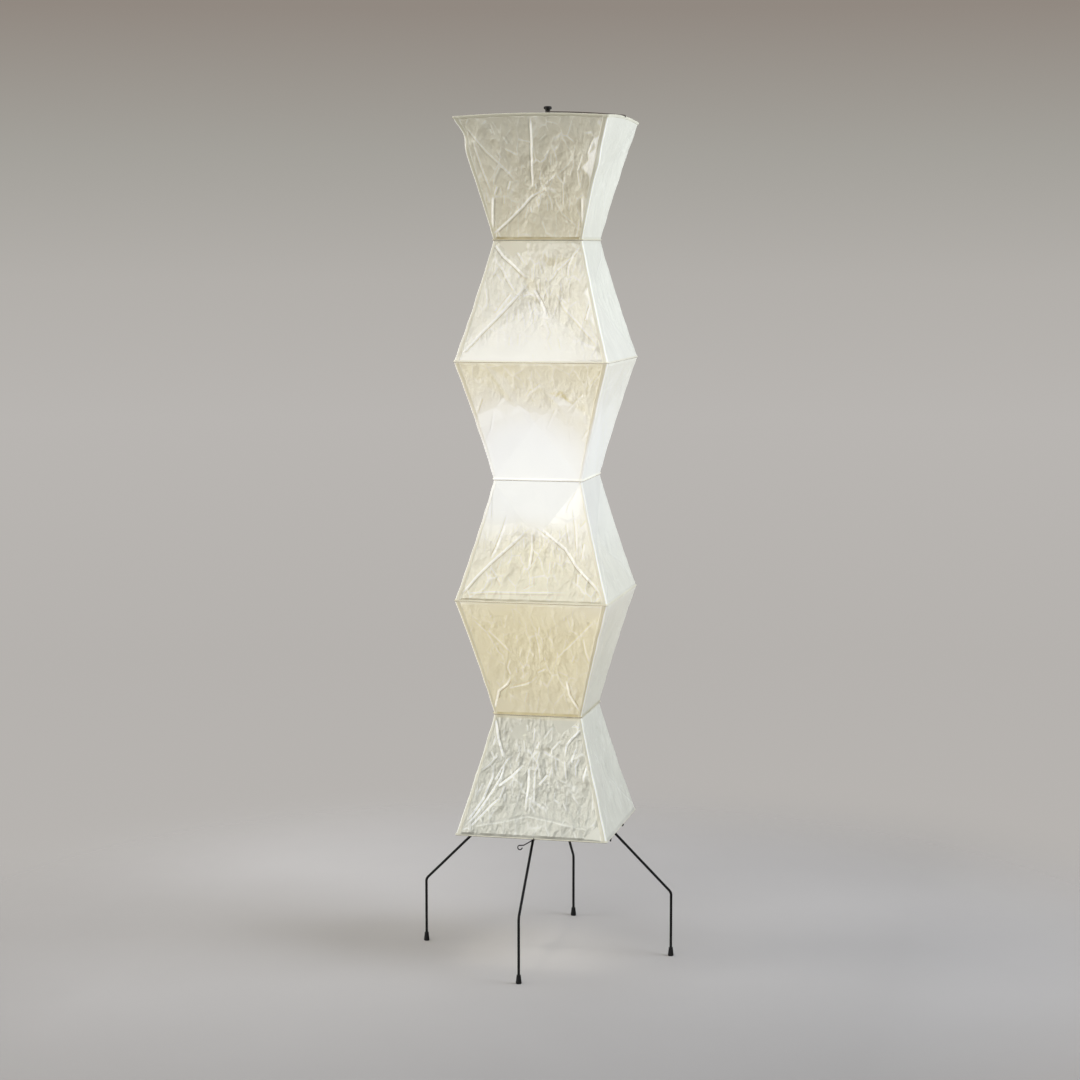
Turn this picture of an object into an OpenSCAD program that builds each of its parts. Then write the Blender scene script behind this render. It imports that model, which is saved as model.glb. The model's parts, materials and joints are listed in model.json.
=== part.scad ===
// A tall paper lantern floor lamp. Six waisted paper tiers hang between seven square wire
// ribs, round a bulb on a slim pole. Four bent legs carry the pole and hold the lowest rib.
// Origin: on the floor, under the pole. +Z is up, and the front face looks along -Y.

/* [Shade] */
// Height of the lowest rib above the floor
shade_z = 300; // [280:5:320]
// Height of one paper tier, from rib to rib
tier_h = 267; // [240:1:290]
// Width of the wide ribs, between wire centres
wide_w = 348; // [320:2:380]
// Width of the waist ribs, between wire centres
waist_w = 203; // [190:1:240]
// Thickness of the rib wire
rib_d = 3; // [2.5:0.5:4]
// Inside bend of a rib's corners
rib_bend = 3; // [2:0.5:6]
// Rise of the top rib's sides at their middles
top_rise = 6; // [4:1:10]

/* [Paper] */
// Thickness of the paper
paper_t = 0.4; // [0.3:0.1:0.8]
// How far the corner seams draw in at the middle of a tier
seam_sag = 4; // [2:0.5:8]
// How far the middle of a panel sinks in
panel_dent = 5; // [3:0.5:8]
// Height of the creases that run from the corners to a panel's middle
crease_h = 2; // [1:0.5:3]
// Gap between the edge of the paper and the rib wire
paper_gap = 0.3; // [0.2:0.1:0.6]

/* [Stand] */
// Radius of the circle that the feet stand on
foot_r = 291; // [270:1:310]
// Thickness of the leg rod
leg_d = 6; // [5:0.5:7]
// Height at which a leg bends inwards
knee_z = 149; // [130:1:160]
// Slope of a leg above its knee
leg_angle = 45; // [40:1:50]
// Bend of the leg rod, to its centre line
leg_bend = 16; // [10:1:20]
// Diameter of the hub
hub_d = 40; // [34:1:50]
// Height of the hub
hub_h = 16; // [14:1:22]
// Depth of a leg's seat in the hub
leg_seat = 9; // [6:0.5:11]
// Diameter of a rubber foot at the floor
foot_d = 13; // [11:0.5:16]
// Height of a rubber foot
foot_h = 20; // [16:1:26]
// Rubber under the end of a leg
foot_floor = 4; // [3:0.5:6]

/* [Rib hooks] */
// Thickness of the hook wire
hook_d = 2.5; // [2:0.5:3]
// Distance from the leg to the hook's cradle, along the rib
hook_side = 8; // [7:0.5:12]
// Slope of the hook's tail
tail_angle = 32; // [25:1:40]
// Length of the tail, from the cradle to the end of its eye
tail_l = 50; // [42:1:60]
// Length of the eye, outside
eye_l = 17; // [15:0.5:22]
// Width of the eye, outside
eye_w = 12.5; // [11:0.5:14]

/* [Pole] */
// Diameter of the pole
pole_d = 10; // [9:0.5:12]
// Wall of the pole
pole_wall = 1; // [0.8:0.1:1.5]
// Height of the joint between the two pole sections
joint_z = 990; // [960:5:1000]
// Length of the coupler
coupler_l = 32; // [24:1:40]
// Wall of the coupler
coupler_wall = 2.5; // [2:0.5:4]
// Height of a nut on the pole
nut_h = 5; // [4:0.5:7]
// Width of a nut across its flats
nut_af = 16; // [15:0.5:20]

/* [Top] */
// Thickness of the bow wire
bow_d = 2.5; // [2:0.5:3]
// Rise of the bow wire from its hooks to its eye
bow_rise = 8; // [6:1:14]
// Diameter of the threaded tip that carries the knob
tip_d = 6; // [5:0.5:7]
// Diameter of the knob
knob_d = 18; // [14:1:24]
// Height of the knob
knob_h = 11.5; // [9:0.5:16]
// Thickness of the washers
washer_t = 1; // [0.8:0.1:1.5]

/* [Lamp holder] */
// Distance from the pole to the bulb's axis
bulb_off = 42; // [40:1:48]
// Direction of the bulb from the pole, round from +X
bulb_turn = 225; // [215:1:235]
// Thickness of the bracket
bracket_t = 2; // [1.5:0.5:3]
// Width of the bracket
bracket_w = 24; // [20:1:28]
// Diameter of the holder
holder_d = 40; // [38:1:44]
// Wall of the holder
holder_wall = 2; // [1.5:0.1:3]
// Height of the holder's base cap
base_h = 16; // [14:1:20]
// Height of the holder's sleeve
sleeve_h = 38; // [36:1:44]
// Thickness of the contact block
block_h = 9; // [7:0.5:10]
// Bore of the hollow nipple that the lead goes through
nipple_bore = 7; // [5:0.5:7]

/* [Bulb] */
// Diameter of the globe
globe_d = 60; // [56:1:64]
// Length of the bulb
bulb_l = 110; // [104:1:114]
// Wall of the globe
globe_wall = 1.2; // [0.8:0.1:2]
// Diameter of the screw cap
cap_d = 26; // [25.5:0.1:26.4]
// Length of the screw cap
cap_l = 23; // [20:0.5:25]
// Diameter of the bulb's neck
neck_d = 32; // [30:0.5:34]

/* [Hidden] */
$fn = 96;

// Directions of the four legs, round from +X
RIGHT = 0;
BACK = 90;
LEFT = 180;
FRONT = 270;

// Running gap of parts that screw or push together, and the gap under a wire that rests
fit = 0.05;
rest_gap = 0.3;

// Rows and columns of facets on one paper panel
rows = 8;
cols = 8;

// Sides of a swept wire, and steps along its bends, arcs and turns
leg_sides = 16;
rib_sides = 10;
bow_sides = 8;
hook_sides = 8;
bend_steps = 5;
side_steps = 6;
arc_steps = 8;
turn_steps = 20;
eye_steps = 12;

// Number of paper tiers, which is also the number of the top rib
tiers = 6;

// Ribs: even ones are wide and odd ones are waists
function rib_z(i) = shade_z + i * tier_h;
function rib_half(i) = (i % 2 == 0 ? wide_w : waist_w) / 2;
top_z = rib_z(tiers);
top_side_z = top_z + top_rise;

// Hub, and the run of a leg in the plane of its own radius; the legs enter at the rib's height
hub_z = shade_z;
hub_chamfer = 1.5;
hub_top = hub_z + hub_h / 2;
hub_bottom = hub_z - hub_h / 2;
elbow_r = foot_r - (hub_z - knee_z) / tan(leg_angle);
leg_end_r = hub_d / 2 - leg_seat;
function leg_r(z) = foot_r - (z - knee_z) / tan(leg_angle);

// A hook's wire passes under the rib, turns, and lies against the leg on its way to the eye.
// weld_reach is how far out the tail lies, so that it just touches the sloping leg.
cradle_r = rib_d / 2 + rest_gap + hook_d / 2;
cradle_z = shade_z - cradle_r;
weld_z = cradle_z - hook_side * tan(tail_angle);
weld_reach = (leg_d / 2 + hook_d / 2 + fit)
    * sqrt(pow(cos(tail_angle), 2) + pow(sin(tail_angle) * cos(leg_angle), 2))
    / (cos(tail_angle) * sin(leg_angle));
tail_r = leg_r(weld_z) + weld_reach;
hook_bend = 4;
lip_h = 1.5;

// Pole sections, bracket and what stands on it
pole_r = pole_d / 2;
pole_end = 3;
pole_foot = hub_bottom - nut_h - pole_end;
coupler_top = joint_z + coupler_l / 2;
bracket_top = coupler_top + bracket_t;
nut_bore = pole_r + fit;

// Top: the bow wire lies over the top rib and is clamped between a washer and the knob
bow_seat = rib_d / 2 + rest_gap + bow_d / 2;
bow_end_z = top_side_z + bow_seat;
bow_z = bow_end_z + bow_rise;
bow_pass = bow_d + rest_gap;
shoulder_z = bow_z - (bow_pass + bow_d) / 2 - washer_t;
knob_z = bow_z + (bow_pass + bow_d) / 2;
bow_slack = 0.2;
bow_eye_r = tip_d / 2 + bow_slack + bow_d / 2;

// Lamp holder and bulb, upwards from the bracket on the bulb's own axis
nipple_r = 5;
sleeve_z = bracket_top + base_h;
mouth_z = sleeve_z + sleeve_h;
block_z = sleeve_z;
wire_hole_d = 4;
contact_z = block_z + block_h;
contact_t = 1.2;
tip_z = contact_z + contact_t + rest_gap;
tip_h = 2;
insulator_h = 3;
cap_z = tip_z + tip_h + insulator_h;
neck_z = cap_z + cap_l;
globe_z = tip_z + bulb_l - globe_d / 2;
// The globe's cone leaves the sphere at this angle below its middle
cone_angle = 30;
globe_foot = globe_z - globe_d / 2 * sin(cone_angle)
    - (globe_d / 2 * cos(cone_angle) - neck_d / 2) / tan(cone_angle);
board_t = 1.6;

// ---------- helpers ----------

function unit(v) = v / norm(v);

// Places its children on the side of the leg that points in this direction
module toward(direction) {
    rotate([0, 0, direction]) children();
}

// Places its children on the bulb's axis, at a height
module on_bulb_axis(z) {
    rotate([0, 0, bulb_turn]) translate([bulb_off, 0, z]) children();
}

// A straight piece of wire between two points of the drawing plane
module straight(a, b, d) {
    translate([a[0], a[1], 0])
        rotate([0, 0, atan2(b[1] - a[1], b[0] - a[0])])
            rotate([0, 90, 0]) cylinder(d = d, h = norm(b - a));
}

// A bend of wire round a centre, from one angle through a sweep
module bend(centre, r, d, from, sweep) {
    translate([centre[0], centre[1], 0]) rotate([0, 0, from])
        rotate_extrude(angle = sweep) translate([r, 0]) circle(d = d);
}

// A path in space with its corners rounded to their own radii; a radius of 0 stays a corner
function rounded(path, radii) = [
    for (i = [0:len(path) - 1])
        if (radii[i] == 0) path[i]
        else
            let (
                back = unit(path[i - 1] - path[i]),
                on = unit(path[i + 1] - path[i]),
                turned = 180 - acos(back * on),
                inward = unit(back + on),
                along = unit(on - back),
                centre = path[i] + inward * radii[i] / cos(turned / 2)
            )
            for (k = [0:bend_steps])
                let (a = turned * (k / bend_steps - 0.5))
                centre + radii[i] * (along * sin(a) - inward * cos(a))
];

// A vector made square to a direction
function squared(v, way) = unit(v - way * (v * way));

// Wire of many flat sides, swept along a path; its first ring is set square by the vector up
module swept_wire(path, d, sides, up, closed = false) {
    n = len(path);
    function before(i) = closed ? (i + n - 1) % n : max(i - 1, 0);
    function after(i) = closed ? (i + 1) % n : min(i + 1, n - 1);
    ways = [for (i = [0:n - 1]) unit(path[after(i)] - path[before(i)])];
    ups = [for (i = 0, u = up; i < n; u = squared(u, ways[i]), i = i + 1) squared(u, ways[i])];
    points = [
        for (i = [0:n - 1], k = [0:sides - 1])
            let (a = 360 * (k + 0.5) / sides)
            path[i] + d / 2 * (ups[i] * cos(a) + cross(ways[i], ups[i]) * sin(a))
    ];
    function at(i, k) = (i % n) * sides + k % sides;
    skin = [
        for (i = [0:closed ? n - 1 : n - 2], k = [0:sides - 1]) each [
            [at(i, k), at(i, k + 1), at(i + 1, k + 1)],
            [at(i, k), at(i + 1, k + 1), at(i + 1, k)]
        ]
    ];
    first = [for (k = [sides - 1:-1:0]) at(0, k)];
    last = [for (k = [0:sides - 1]) at(n - 1, k)];
    polyhedron(points = points, faces = closed ? skin : concat(skin, [first, last]));
}

// A ring with a flat top and bottom
module ring(outer, inner, h) {
    difference() {
        cylinder(d = outer, h = h);
        translate([0, 0, -1]) cylinder(d = inner, h = h + 2);
    }
}

// A hexagonal nut on the pole's thread
module hex_nut(af, bore, h) {
    difference() {
        cylinder(d = af / cos(30), h = h, $fn = 6);
        translate([0, 0, -1]) cylinder(r = bore, h = h + 2);
    }
}

// ---------- stand ----------

module hub() {
    color("#1b1a19") difference() {
        translate([0, 0, hub_bottom]) rotate_extrude() polygon([
            [0, 0], [hub_d / 2 - hub_chamfer, 0], [hub_d / 2, hub_chamfer],
            [hub_d / 2, hub_h - hub_chamfer], [hub_d / 2 - hub_chamfer, hub_h], [0, hub_h]
        ]);
        translate([0, 0, hub_bottom - 1]) cylinder(r = nut_bore, h = hub_h + 2);
        for (a = [RIGHT, BACK, LEFT, FRONT])
            toward(a) translate([leg_end_r - fit, 0, hub_z])
                rotate([0, 90, 0]) cylinder(d = leg_d + 2 * fit, h = hub_d);
    }
}

module hub_nut_lower() {
    color("#8d8d8f") translate([0, 0, hub_bottom - nut_h]) hex_nut(nut_af, nut_bore, nut_h);
}

module hub_nut_upper() {
    color("#8d8d8f") translate([0, 0, hub_top]) hex_nut(nut_af, nut_bore, nut_h);
}

module leg(direction) {
    corners = [
        [foot_r, 0, foot_floor], [foot_r, 0, knee_z],
        [elbow_r, 0, hub_z], [leg_end_r, 0, hub_z]
    ];
    color("#1b1a19") toward(direction)
        swept_wire(rounded(corners, [0, leg_bend, leg_bend, 0]), leg_d, leg_sides, [0, 1, 0]);
}

module foot(direction) {
    socket_r = leg_d / 2 + fit;
    color("#121212") toward(direction) translate([foot_r, 0, 0]) difference() {
        rotate_extrude() polygon([
            [0, 0], [foot_d / 2 - 1, 0], [foot_d / 2, 1], [foot_d / 2, 3],
            [foot_d / 2 - 0.8, foot_h * 0.45], [leg_d / 2 + 1.8, foot_h - 2],
            [leg_d / 2 + 1.2, foot_h], [0, foot_h]
        ]);
        translate([0, 0, foot_floor - fit]) cylinder(r = socket_r, h = foot_h);
    }
}

// The hook is one wire, drawn for the leg along +X. Its cradle holds the rib from below and
// outside. It then turns along the rib, crosses the leg, and ends bent round into an eye.
module rib_hook(direction) {
    rib_r = rib_half(0);
    eye_r = (eye_w - hook_d) / 2;
    far = tail_l - eye_w / 2;
    neck = tail_l - eye_l;
    spread = asin(eye_r / (far - neck));
    // A point of the tail's own plane: along the tail, and across it
    function tail(x, y) = [
        tail_r,
        hook_side - x * cos(tail_angle) - y * sin(tail_angle),
        cradle_z - x * sin(tail_angle) + y * cos(tail_angle)
    ];
    cradle = rounded([
        [rib_r + cradle_r, hook_side, shade_z + lip_h],
        [rib_r + cradle_r, hook_side, cradle_z],
        [tail_r, hook_side, cradle_z],
        tail(neck, 0)
    ], [0, cradle_r, hook_bend, 0]);
    eye = [
        for (k = [0:eye_steps])
            let (a = (90 + spread) * (1 - 2 * k / eye_steps))
            tail(far + eye_r * cos(a), eye_r * sin(a))
    ];
    // The wire's end comes back to lie beside the tail
    beside = (hook_d + rest_gap) / cos(spread);
    end = tail(neck + beside / tan(spread), -beside);
    color("#1b1a19") toward(direction)
        swept_wire(concat(cradle, eye, [end]), hook_d, hook_sides, [0, 1, 0]);
}

// ---------- pole ----------

module pole_lower() {
    color("#1b1a19") translate([0, 0, pole_foot])
        ring(pole_d, pole_d - 2 * pole_wall, joint_z - fit - pole_foot);
}

module pole_coupler() {
    color("#8d8d8f") translate([0, 0, joint_z - coupler_l / 2])
        ring(pole_d + 2 * coupler_wall, 2 * nut_bore, coupler_l);
}

// The upper section ends in a solid plug, turned down to the knob's thread
module pole_upper() {
    plug_h = 14;
    color("#1b1a19") {
        translate([0, 0, joint_z + fit])
            ring(pole_d, pole_d - 2 * pole_wall, shoulder_z - plug_h - joint_z - fit);
        translate([0, 0, shoulder_z - plug_h]) cylinder(d = pole_d, h = plug_h);
        translate([0, 0, shoulder_z])
            cylinder(d = tip_d, h = washer_t + bow_d + bow_pass + knob_h * 0.6);
    }
}

// ---------- top ----------

module bow_washer() {
    color("#8d8d8f") translate([0, 0, shoulder_z])
        ring(pole_d + 5, tip_d + 2 * bow_slack, washer_t);
}

// The bow is one wire: a hook over the top rib's side, an arc, one turn round the pole's tip,
// an arc, and a hook over the other side. Its halves pass each other in the turn.
function bow_half(pass) = concat(
    [
        for (k = [0:bend_steps])
            let (a = -30 + 120 * k / bend_steps)
            [rib_half(tiers) + bow_seat * cos(a), 0, top_side_z + bow_seat * sin(a)]
    ],
    [
        for (k = [1:arc_steps])
            let (share = k / arc_steps)
            let (z = bow_end_z + bow_rise * share * (2 - share) + pass * share)
            [rib_half(tiers) * (1 - share), -bow_eye_r * share, z]
    ]
);

module bow_wire() {
    low = [for (p = bow_half(-bow_pass / 2)) [-p[0], p[1], p[2]]];
    high = bow_half(bow_pass / 2);
    turn = [
        for (k = [1:turn_steps - 1])
            let (a = 360 * k / turn_steps - 90)
            [bow_eye_r * cos(a), bow_eye_r * sin(a), bow_z + bow_pass * (k / turn_steps - 0.5)]
    ];
    path = concat(low, turn, [for (i = [len(high) - 1:-1:0]) high[i]]);
    color("#4a3a30") swept_wire(path, bow_d, bow_sides, [0, 1, 0]);
}

module knob() {
    neck_r = knob_d * 0.31;
    color("#101010") translate([0, 0, knob_z]) difference() {
        rotate_extrude() polygon([
            [0, 0], [neck_r, 0], [neck_r, knob_h * 0.3], [knob_d / 2 - 1, knob_h * 0.42],
            [knob_d / 2, knob_h * 0.5], [knob_d / 2, knob_h * 0.82],
            [knob_d / 2 - 1.2, knob_h * 0.94], [knob_d / 2 - 3, knob_h], [0, knob_h]
        ]);
        translate([0, 0, -1]) cylinder(d = tip_d + 2 * fit, h = knob_h * 0.7 + 1);
    }
}

// ---------- lamp holder ----------

// A half disc of the bracket, round on the side that faces this way
module bracket_end(way) {
    rotate([0, 0, way - 90]) rotate_extrude(angle = 180) square([bracket_w / 2, bracket_t]);
}

module holder_bracket() {
    color("#1b1a19") difference() {
        rotate([0, 0, bulb_turn]) translate([0, 0, coupler_top]) {
            bracket_end(180);
            translate([0, -bracket_w / 2, 0]) cube([bulb_off, bracket_w, bracket_t]);
            translate([bulb_off, 0, 0]) bracket_end(0);
        }
        translate([0, 0, coupler_top - 1]) cylinder(r = nut_bore, h = bracket_t + 2);
        on_bulb_axis(coupler_top - 1) cylinder(r = nipple_r + fit, h = bracket_t + 2);
    }
}

module bracket_nut() {
    color("#8d8d8f") translate([0, 0, bracket_top + fit]) hex_nut(nut_af, nut_bore, nut_h);
}

// Hollow nipple: a flanged tube that the lead comes up through
module cable_nipple() {
    flange_h = 3;
    color("#8d8d8f") on_bulb_axis(coupler_top - flange_h) difference() {
        union() {
            cylinder(d = 15, h = flange_h);
            cylinder(r = nipple_r, h = flange_h + bracket_t + base_h * 0.8);
        }
        translate([0, 0, -1]) cylinder(d = nipple_bore, h = base_h * 2);
    }
}

module nipple_nut() {
    color("#8d8d8f") on_bulb_axis(bracket_top + holder_wall)
        hex_nut(nut_af - 1, nipple_r + fit, nut_h * 0.8);
}

// The base cap is a cup: a floor on the bracket, a flared wall and a rim for the sleeve
module holder_base() {
    r = holder_d / 2;
    w = holder_wall;
    color("#efece4") on_bulb_axis(bracket_top) rotate_extrude() polygon([
        [nipple_r + fit, 0], [r * 0.62, 0], [r * 0.86, base_h * 0.3], [r, base_h * 0.75],
        [r, base_h], [r - w, base_h], [r - w, base_h * 0.78],
        [r * 0.86 - w, base_h * 0.38], [r * 0.6 - w, w], [nipple_r + fit, w]
    ]);
}

module holder_sleeve() {
    r = holder_d / 2;
    color("#efece4") on_bulb_axis(sleeve_z) rotate_extrude() polygon([
        [r - holder_wall, 0], [r, 0], [r, sleeve_h * 0.9], [r - 0.6, sleeve_h],
        [cap_d / 2 + 2.4, sleeve_h], [cap_d / 2 + 2.4, sleeve_h - 2],
        [r - holder_wall, sleeve_h - 2]
    ]);
}

// The block closes the sleeve's lower end and carries the contact and the thread
module contact_block() {
    r = holder_d / 2 - holder_wall - fit;
    color("#dcd8cc") on_bulb_axis(block_z) difference() {
        cylinder(r = r, h = block_h);
        for (a = [0, 180]) rotate([0, 0, a]) translate([r * 0.72, 0, -1])
            cylinder(d = wire_hole_d, h = block_h + 2);
    }
}

module centre_contact() {
    color("#c8a14a") on_bulb_axis(contact_z) {
        translate([-5, -2.5, 0]) cube([10, 5, contact_t]);
    }
}

module thread_shell() {
    shell_t = 0.6;
    below_mouth = 3;
    inner = cap_d + 0.8;
    color("#c8a14a") on_bulb_axis(contact_z)
        ring(inner + 2 * shell_t, inner, mouth_z - below_mouth - contact_z);
}

// ---------- bulb ----------

// The globe's solid form, drawn in by a wall
module globe_form(wall) {
    r = globe_d / 2;
    tangent_r = r * cos(cone_angle);
    tangent_z = globe_z - r * sin(cone_angle);
    shift = wall / cos(cone_angle);
    translate([0, 0, globe_z]) sphere(r = r - wall);
    translate([0, 0, globe_foot])
        cylinder(r1 = neck_d / 2 - shift, r2 = tangent_r - shift, h = tangent_z - globe_foot);
}

module bulb_globe() {
    keep = globe_d + globe_z - globe_foot;
    color("#fbf7ea") on_bulb_axis(0) difference() {
        intersection() {
            globe_form(0);
            translate([0, 0, globe_foot]) cylinder(d = globe_d + 2, h = keep);
        }
        globe_form(globe_wall);
        translate([0, 0, globe_foot - 1]) cylinder(r = neck_d / 2 - globe_wall * 1.5, h = 2);
    }
}

// The neck ends just under the globe's rim and the board, which are glued to it
module bulb_neck() {
    h = globe_foot - neck_z - fit;
    color("#f4f2ec") on_bulb_axis(neck_z) rotate_extrude() polygon([
        [0, 0], [cap_d / 2 - 0.6, 0], [cap_d / 2 + 0.6, 1.5], [neck_d / 2, h - 3],
        [neck_d / 2, h], [0, h]
    ]);
}

module bulb_board() {
    color("#c9cbd0") on_bulb_axis(globe_foot) cylinder(r = neck_d / 2 - 4, h = board_t);
}

module bulb_cap() {
    color("#b9b4a6") on_bulb_axis(cap_z) rotate_extrude() polygon([
        [0, 0], [cap_d / 2 - 2, 0], [cap_d / 2, 2], [cap_d / 2, cap_l], [0, cap_l]
    ]);
}

module bulb_insulator() {
    color("#26221f") on_bulb_axis(tip_z + tip_h)
        cylinder(r1 = cap_d * 0.24, r2 = cap_d / 2 - 2, h = insulator_h);
}

module bulb_tip() {
    color("#c9cbd0") on_bulb_axis(tip_z) cylinder(r1 = 2.6, r2 = 4, h = tip_h);
}

// ---------- shade ----------

// A square rib: four straight sides and four round corners
module square_rib(i) {
    half = rib_half(i);
    r = rib_bend + rib_d / 2;
    color("#8a7458") translate([0, 0, rib_z(i)]) for (a = [RIGHT, BACK, LEFT, FRONT]) toward(a) {
        straight([half, r - half], [half, half - r], rib_d);
        bend([half - r, half - r], r, rib_d, 0, 90);
    }
}

// The top rib: each side rises in the middle
function top_rise_at(u) = top_rise * (1 - u * u);

module arched_rib(i) {
    half = rib_half(i);
    r = rib_bend + rib_d / 2;
    side = [for (k = [0:side_steps]) [half, (half - r) * (2 * k / side_steps - 1)]];
    corner = [
        for (k = [1:bend_steps - 1])
            let (a = 90 * k / bend_steps)
            [half - r + r * cos(a), half - r + r * sin(a)]
    ];
    path = [
        for (a = [RIGHT, BACK, LEFT, FRONT], p = concat(side, corner))
            [
                p[0] * cos(a) - p[1] * sin(a),
                p[0] * sin(a) + p[1] * cos(a),
                rib_z(i) + top_rise_at(min(abs(p[0]), abs(p[1])) / half)
            ]
    ];
    color("#8a7458") swept_wire(path, rib_d, rib_sides, [0, 0, 1], closed = true);
}

// Half-width of tier i at a share f of its height: the corner seams draw in between the ribs
function tier_half(i, f) =
    rib_half(i - 1) + (rib_half(i) - rib_half(i - 1)) * f - seam_sag * 4 * f * (1 - f);

// How far a panel stands inside the flat: a dent in its middle, less the crossing creases
function panel_depth(u, f) =
    let (across = 1 - u * u, up = 4 * f * (1 - f))
    let (off_crease = abs(abs(u) - abs(2 * f - 1)))
    panel_dent * across * up - crease_h * (1 - abs(u)) * max(0, 1 - 3 * off_crease);

// A point of tier i on one side: u runs -1 to 1 across the panel and f runs 0 to 1 up it
function paper_point(i, side, u, f, offset) =
    let (
        edge = rib_d / 2 + paper_gap,
        low = rib_z(i - 1) + edge,
        rise = i == tiers ? top_rise_at(u) : 0,
        high = rib_z(i) - edge + rise,
        share = (low + (high - low) * f - rib_z(i - 1)) / tier_h,
        half = tier_half(i, min(1, share)) + offset,
        out = half - panel_depth(u, f),
        along = u * half
    )
    [
        out * cos(side) - along * sin(side),
        out * sin(side) + along * cos(side),
        low + (high - low) * f
    ];

// One tier: a closed tube of four creased panels, as one sheet with an inside and an outside
module paper_tier(i) {
    around = 4 * cols;
    function ring_points(f, offset) = [
        for (side = [RIGHT, BACK, LEFT, FRONT], c = [0:cols - 1])
            paper_point(i, side, 2 * c / cols - 1, f, offset)
    ];
    outside = [for (r = [0:rows]) each ring_points(r / rows, paper_t / 2)];
    inside = [for (r = [0:rows]) each ring_points(r / rows, -paper_t / 2)];
    shift = len(outside);
    function at(r, c) = r * around + c % around;
    // The split of each cell follows the crease that crosses it
    function rising(r, c) = (c % cols < cols / 2) == (r < rows / 2);
    function cell(r, c) = rising(r, c)
        ? [[at(r, c), at(r + 1, c + 1), at(r, c + 1)], [at(r, c), at(r + 1, c), at(r + 1, c + 1)]]
        : [[at(r, c), at(r + 1, c), at(r, c + 1)], [at(r, c + 1), at(r + 1, c), at(r + 1, c + 1)]];
    function inward(t) = [t[0] + shift, t[2] + shift, t[1] + shift];
    skin = [for (r = [0:rows - 1], c = [0:around - 1]) each cell(r, c)];
    rims = [
        for (c = [0:around - 1]) each [
            [at(0, c), at(0, c + 1), at(0, c + 1) + shift],
            [at(0, c), at(0, c + 1) + shift, at(0, c) + shift],
            [at(rows, c), at(rows, c + 1) + shift, at(rows, c + 1)],
            [at(rows, c), at(rows, c) + shift, at(rows, c + 1) + shift]
        ]
    ];
    color("#f2ecd9") polyhedron(
        points = concat(outside, inside),
        faces = concat(skin, [for (t = skin) inward(t)], rims)
    );
}

hub();
hub_nut_lower();
hub_nut_upper();
leg(FRONT);  // leg_front
leg(RIGHT);  // leg_right
leg(BACK);  // leg_back
leg(LEFT);  // leg_left
foot(FRONT);  // foot_front
foot(RIGHT);  // foot_right
foot(BACK);  // foot_back
foot(LEFT);  // foot_left
rib_hook(FRONT);  // hook_front
rib_hook(RIGHT);  // hook_right
rib_hook(BACK);  // hook_back
rib_hook(LEFT);  // hook_left
pole_lower();
pole_coupler();
pole_upper();
bow_washer();
bow_wire();
knob();
holder_bracket();
bracket_nut();
cable_nipple();
nipple_nut();
holder_base();
holder_sleeve();
contact_block();
centre_contact();
thread_shell();
bulb_globe();
bulb_neck();
bulb_board();
bulb_cap();
bulb_insulator();
bulb_tip();
square_rib(0);  // rib_0
square_rib(1);  // rib_1
square_rib(2);  // rib_2
square_rib(3);  // rib_3
square_rib(4);  // rib_4
square_rib(5);  // rib_5
arched_rib(6);  // rib_6
paper_tier(1);  // paper_1
paper_tier(2);  // paper_2
paper_tier(3);  // paper_3
paper_tier(4);  // paper_4
paper_tier(5);  // paper_5
paper_tier(6);  // paper_6
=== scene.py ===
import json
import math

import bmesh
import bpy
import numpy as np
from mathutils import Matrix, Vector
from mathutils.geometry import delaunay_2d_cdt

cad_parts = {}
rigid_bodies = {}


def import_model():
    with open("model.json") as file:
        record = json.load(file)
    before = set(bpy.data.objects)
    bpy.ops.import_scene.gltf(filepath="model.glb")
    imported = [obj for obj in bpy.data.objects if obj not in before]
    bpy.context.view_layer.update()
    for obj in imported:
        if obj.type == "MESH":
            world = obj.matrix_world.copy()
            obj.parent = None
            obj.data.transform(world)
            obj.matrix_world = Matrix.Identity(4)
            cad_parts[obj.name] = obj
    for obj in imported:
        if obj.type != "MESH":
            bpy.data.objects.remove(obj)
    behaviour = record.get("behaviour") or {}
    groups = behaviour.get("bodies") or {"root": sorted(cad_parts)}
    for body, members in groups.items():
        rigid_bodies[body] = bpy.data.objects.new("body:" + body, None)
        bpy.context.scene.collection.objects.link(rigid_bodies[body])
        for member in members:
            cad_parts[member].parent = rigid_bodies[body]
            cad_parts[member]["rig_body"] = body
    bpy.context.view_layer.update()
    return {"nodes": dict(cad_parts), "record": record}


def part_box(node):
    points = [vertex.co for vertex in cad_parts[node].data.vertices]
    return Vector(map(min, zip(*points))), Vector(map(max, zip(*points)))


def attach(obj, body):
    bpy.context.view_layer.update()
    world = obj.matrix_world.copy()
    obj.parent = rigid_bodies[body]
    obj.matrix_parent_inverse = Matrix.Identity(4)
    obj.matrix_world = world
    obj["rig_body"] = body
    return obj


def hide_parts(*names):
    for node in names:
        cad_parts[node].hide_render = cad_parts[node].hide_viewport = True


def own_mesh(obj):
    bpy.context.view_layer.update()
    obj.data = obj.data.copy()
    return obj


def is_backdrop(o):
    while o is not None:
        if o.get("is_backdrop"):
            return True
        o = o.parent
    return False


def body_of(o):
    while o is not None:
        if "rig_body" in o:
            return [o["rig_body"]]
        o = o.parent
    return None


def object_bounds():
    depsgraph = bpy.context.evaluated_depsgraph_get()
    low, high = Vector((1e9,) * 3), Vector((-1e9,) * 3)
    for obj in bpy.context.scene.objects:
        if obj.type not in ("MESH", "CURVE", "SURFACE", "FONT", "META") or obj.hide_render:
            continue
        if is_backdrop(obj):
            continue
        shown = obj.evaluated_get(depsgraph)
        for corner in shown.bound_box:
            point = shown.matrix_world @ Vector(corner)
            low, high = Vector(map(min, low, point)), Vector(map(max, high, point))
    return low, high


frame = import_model()

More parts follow.
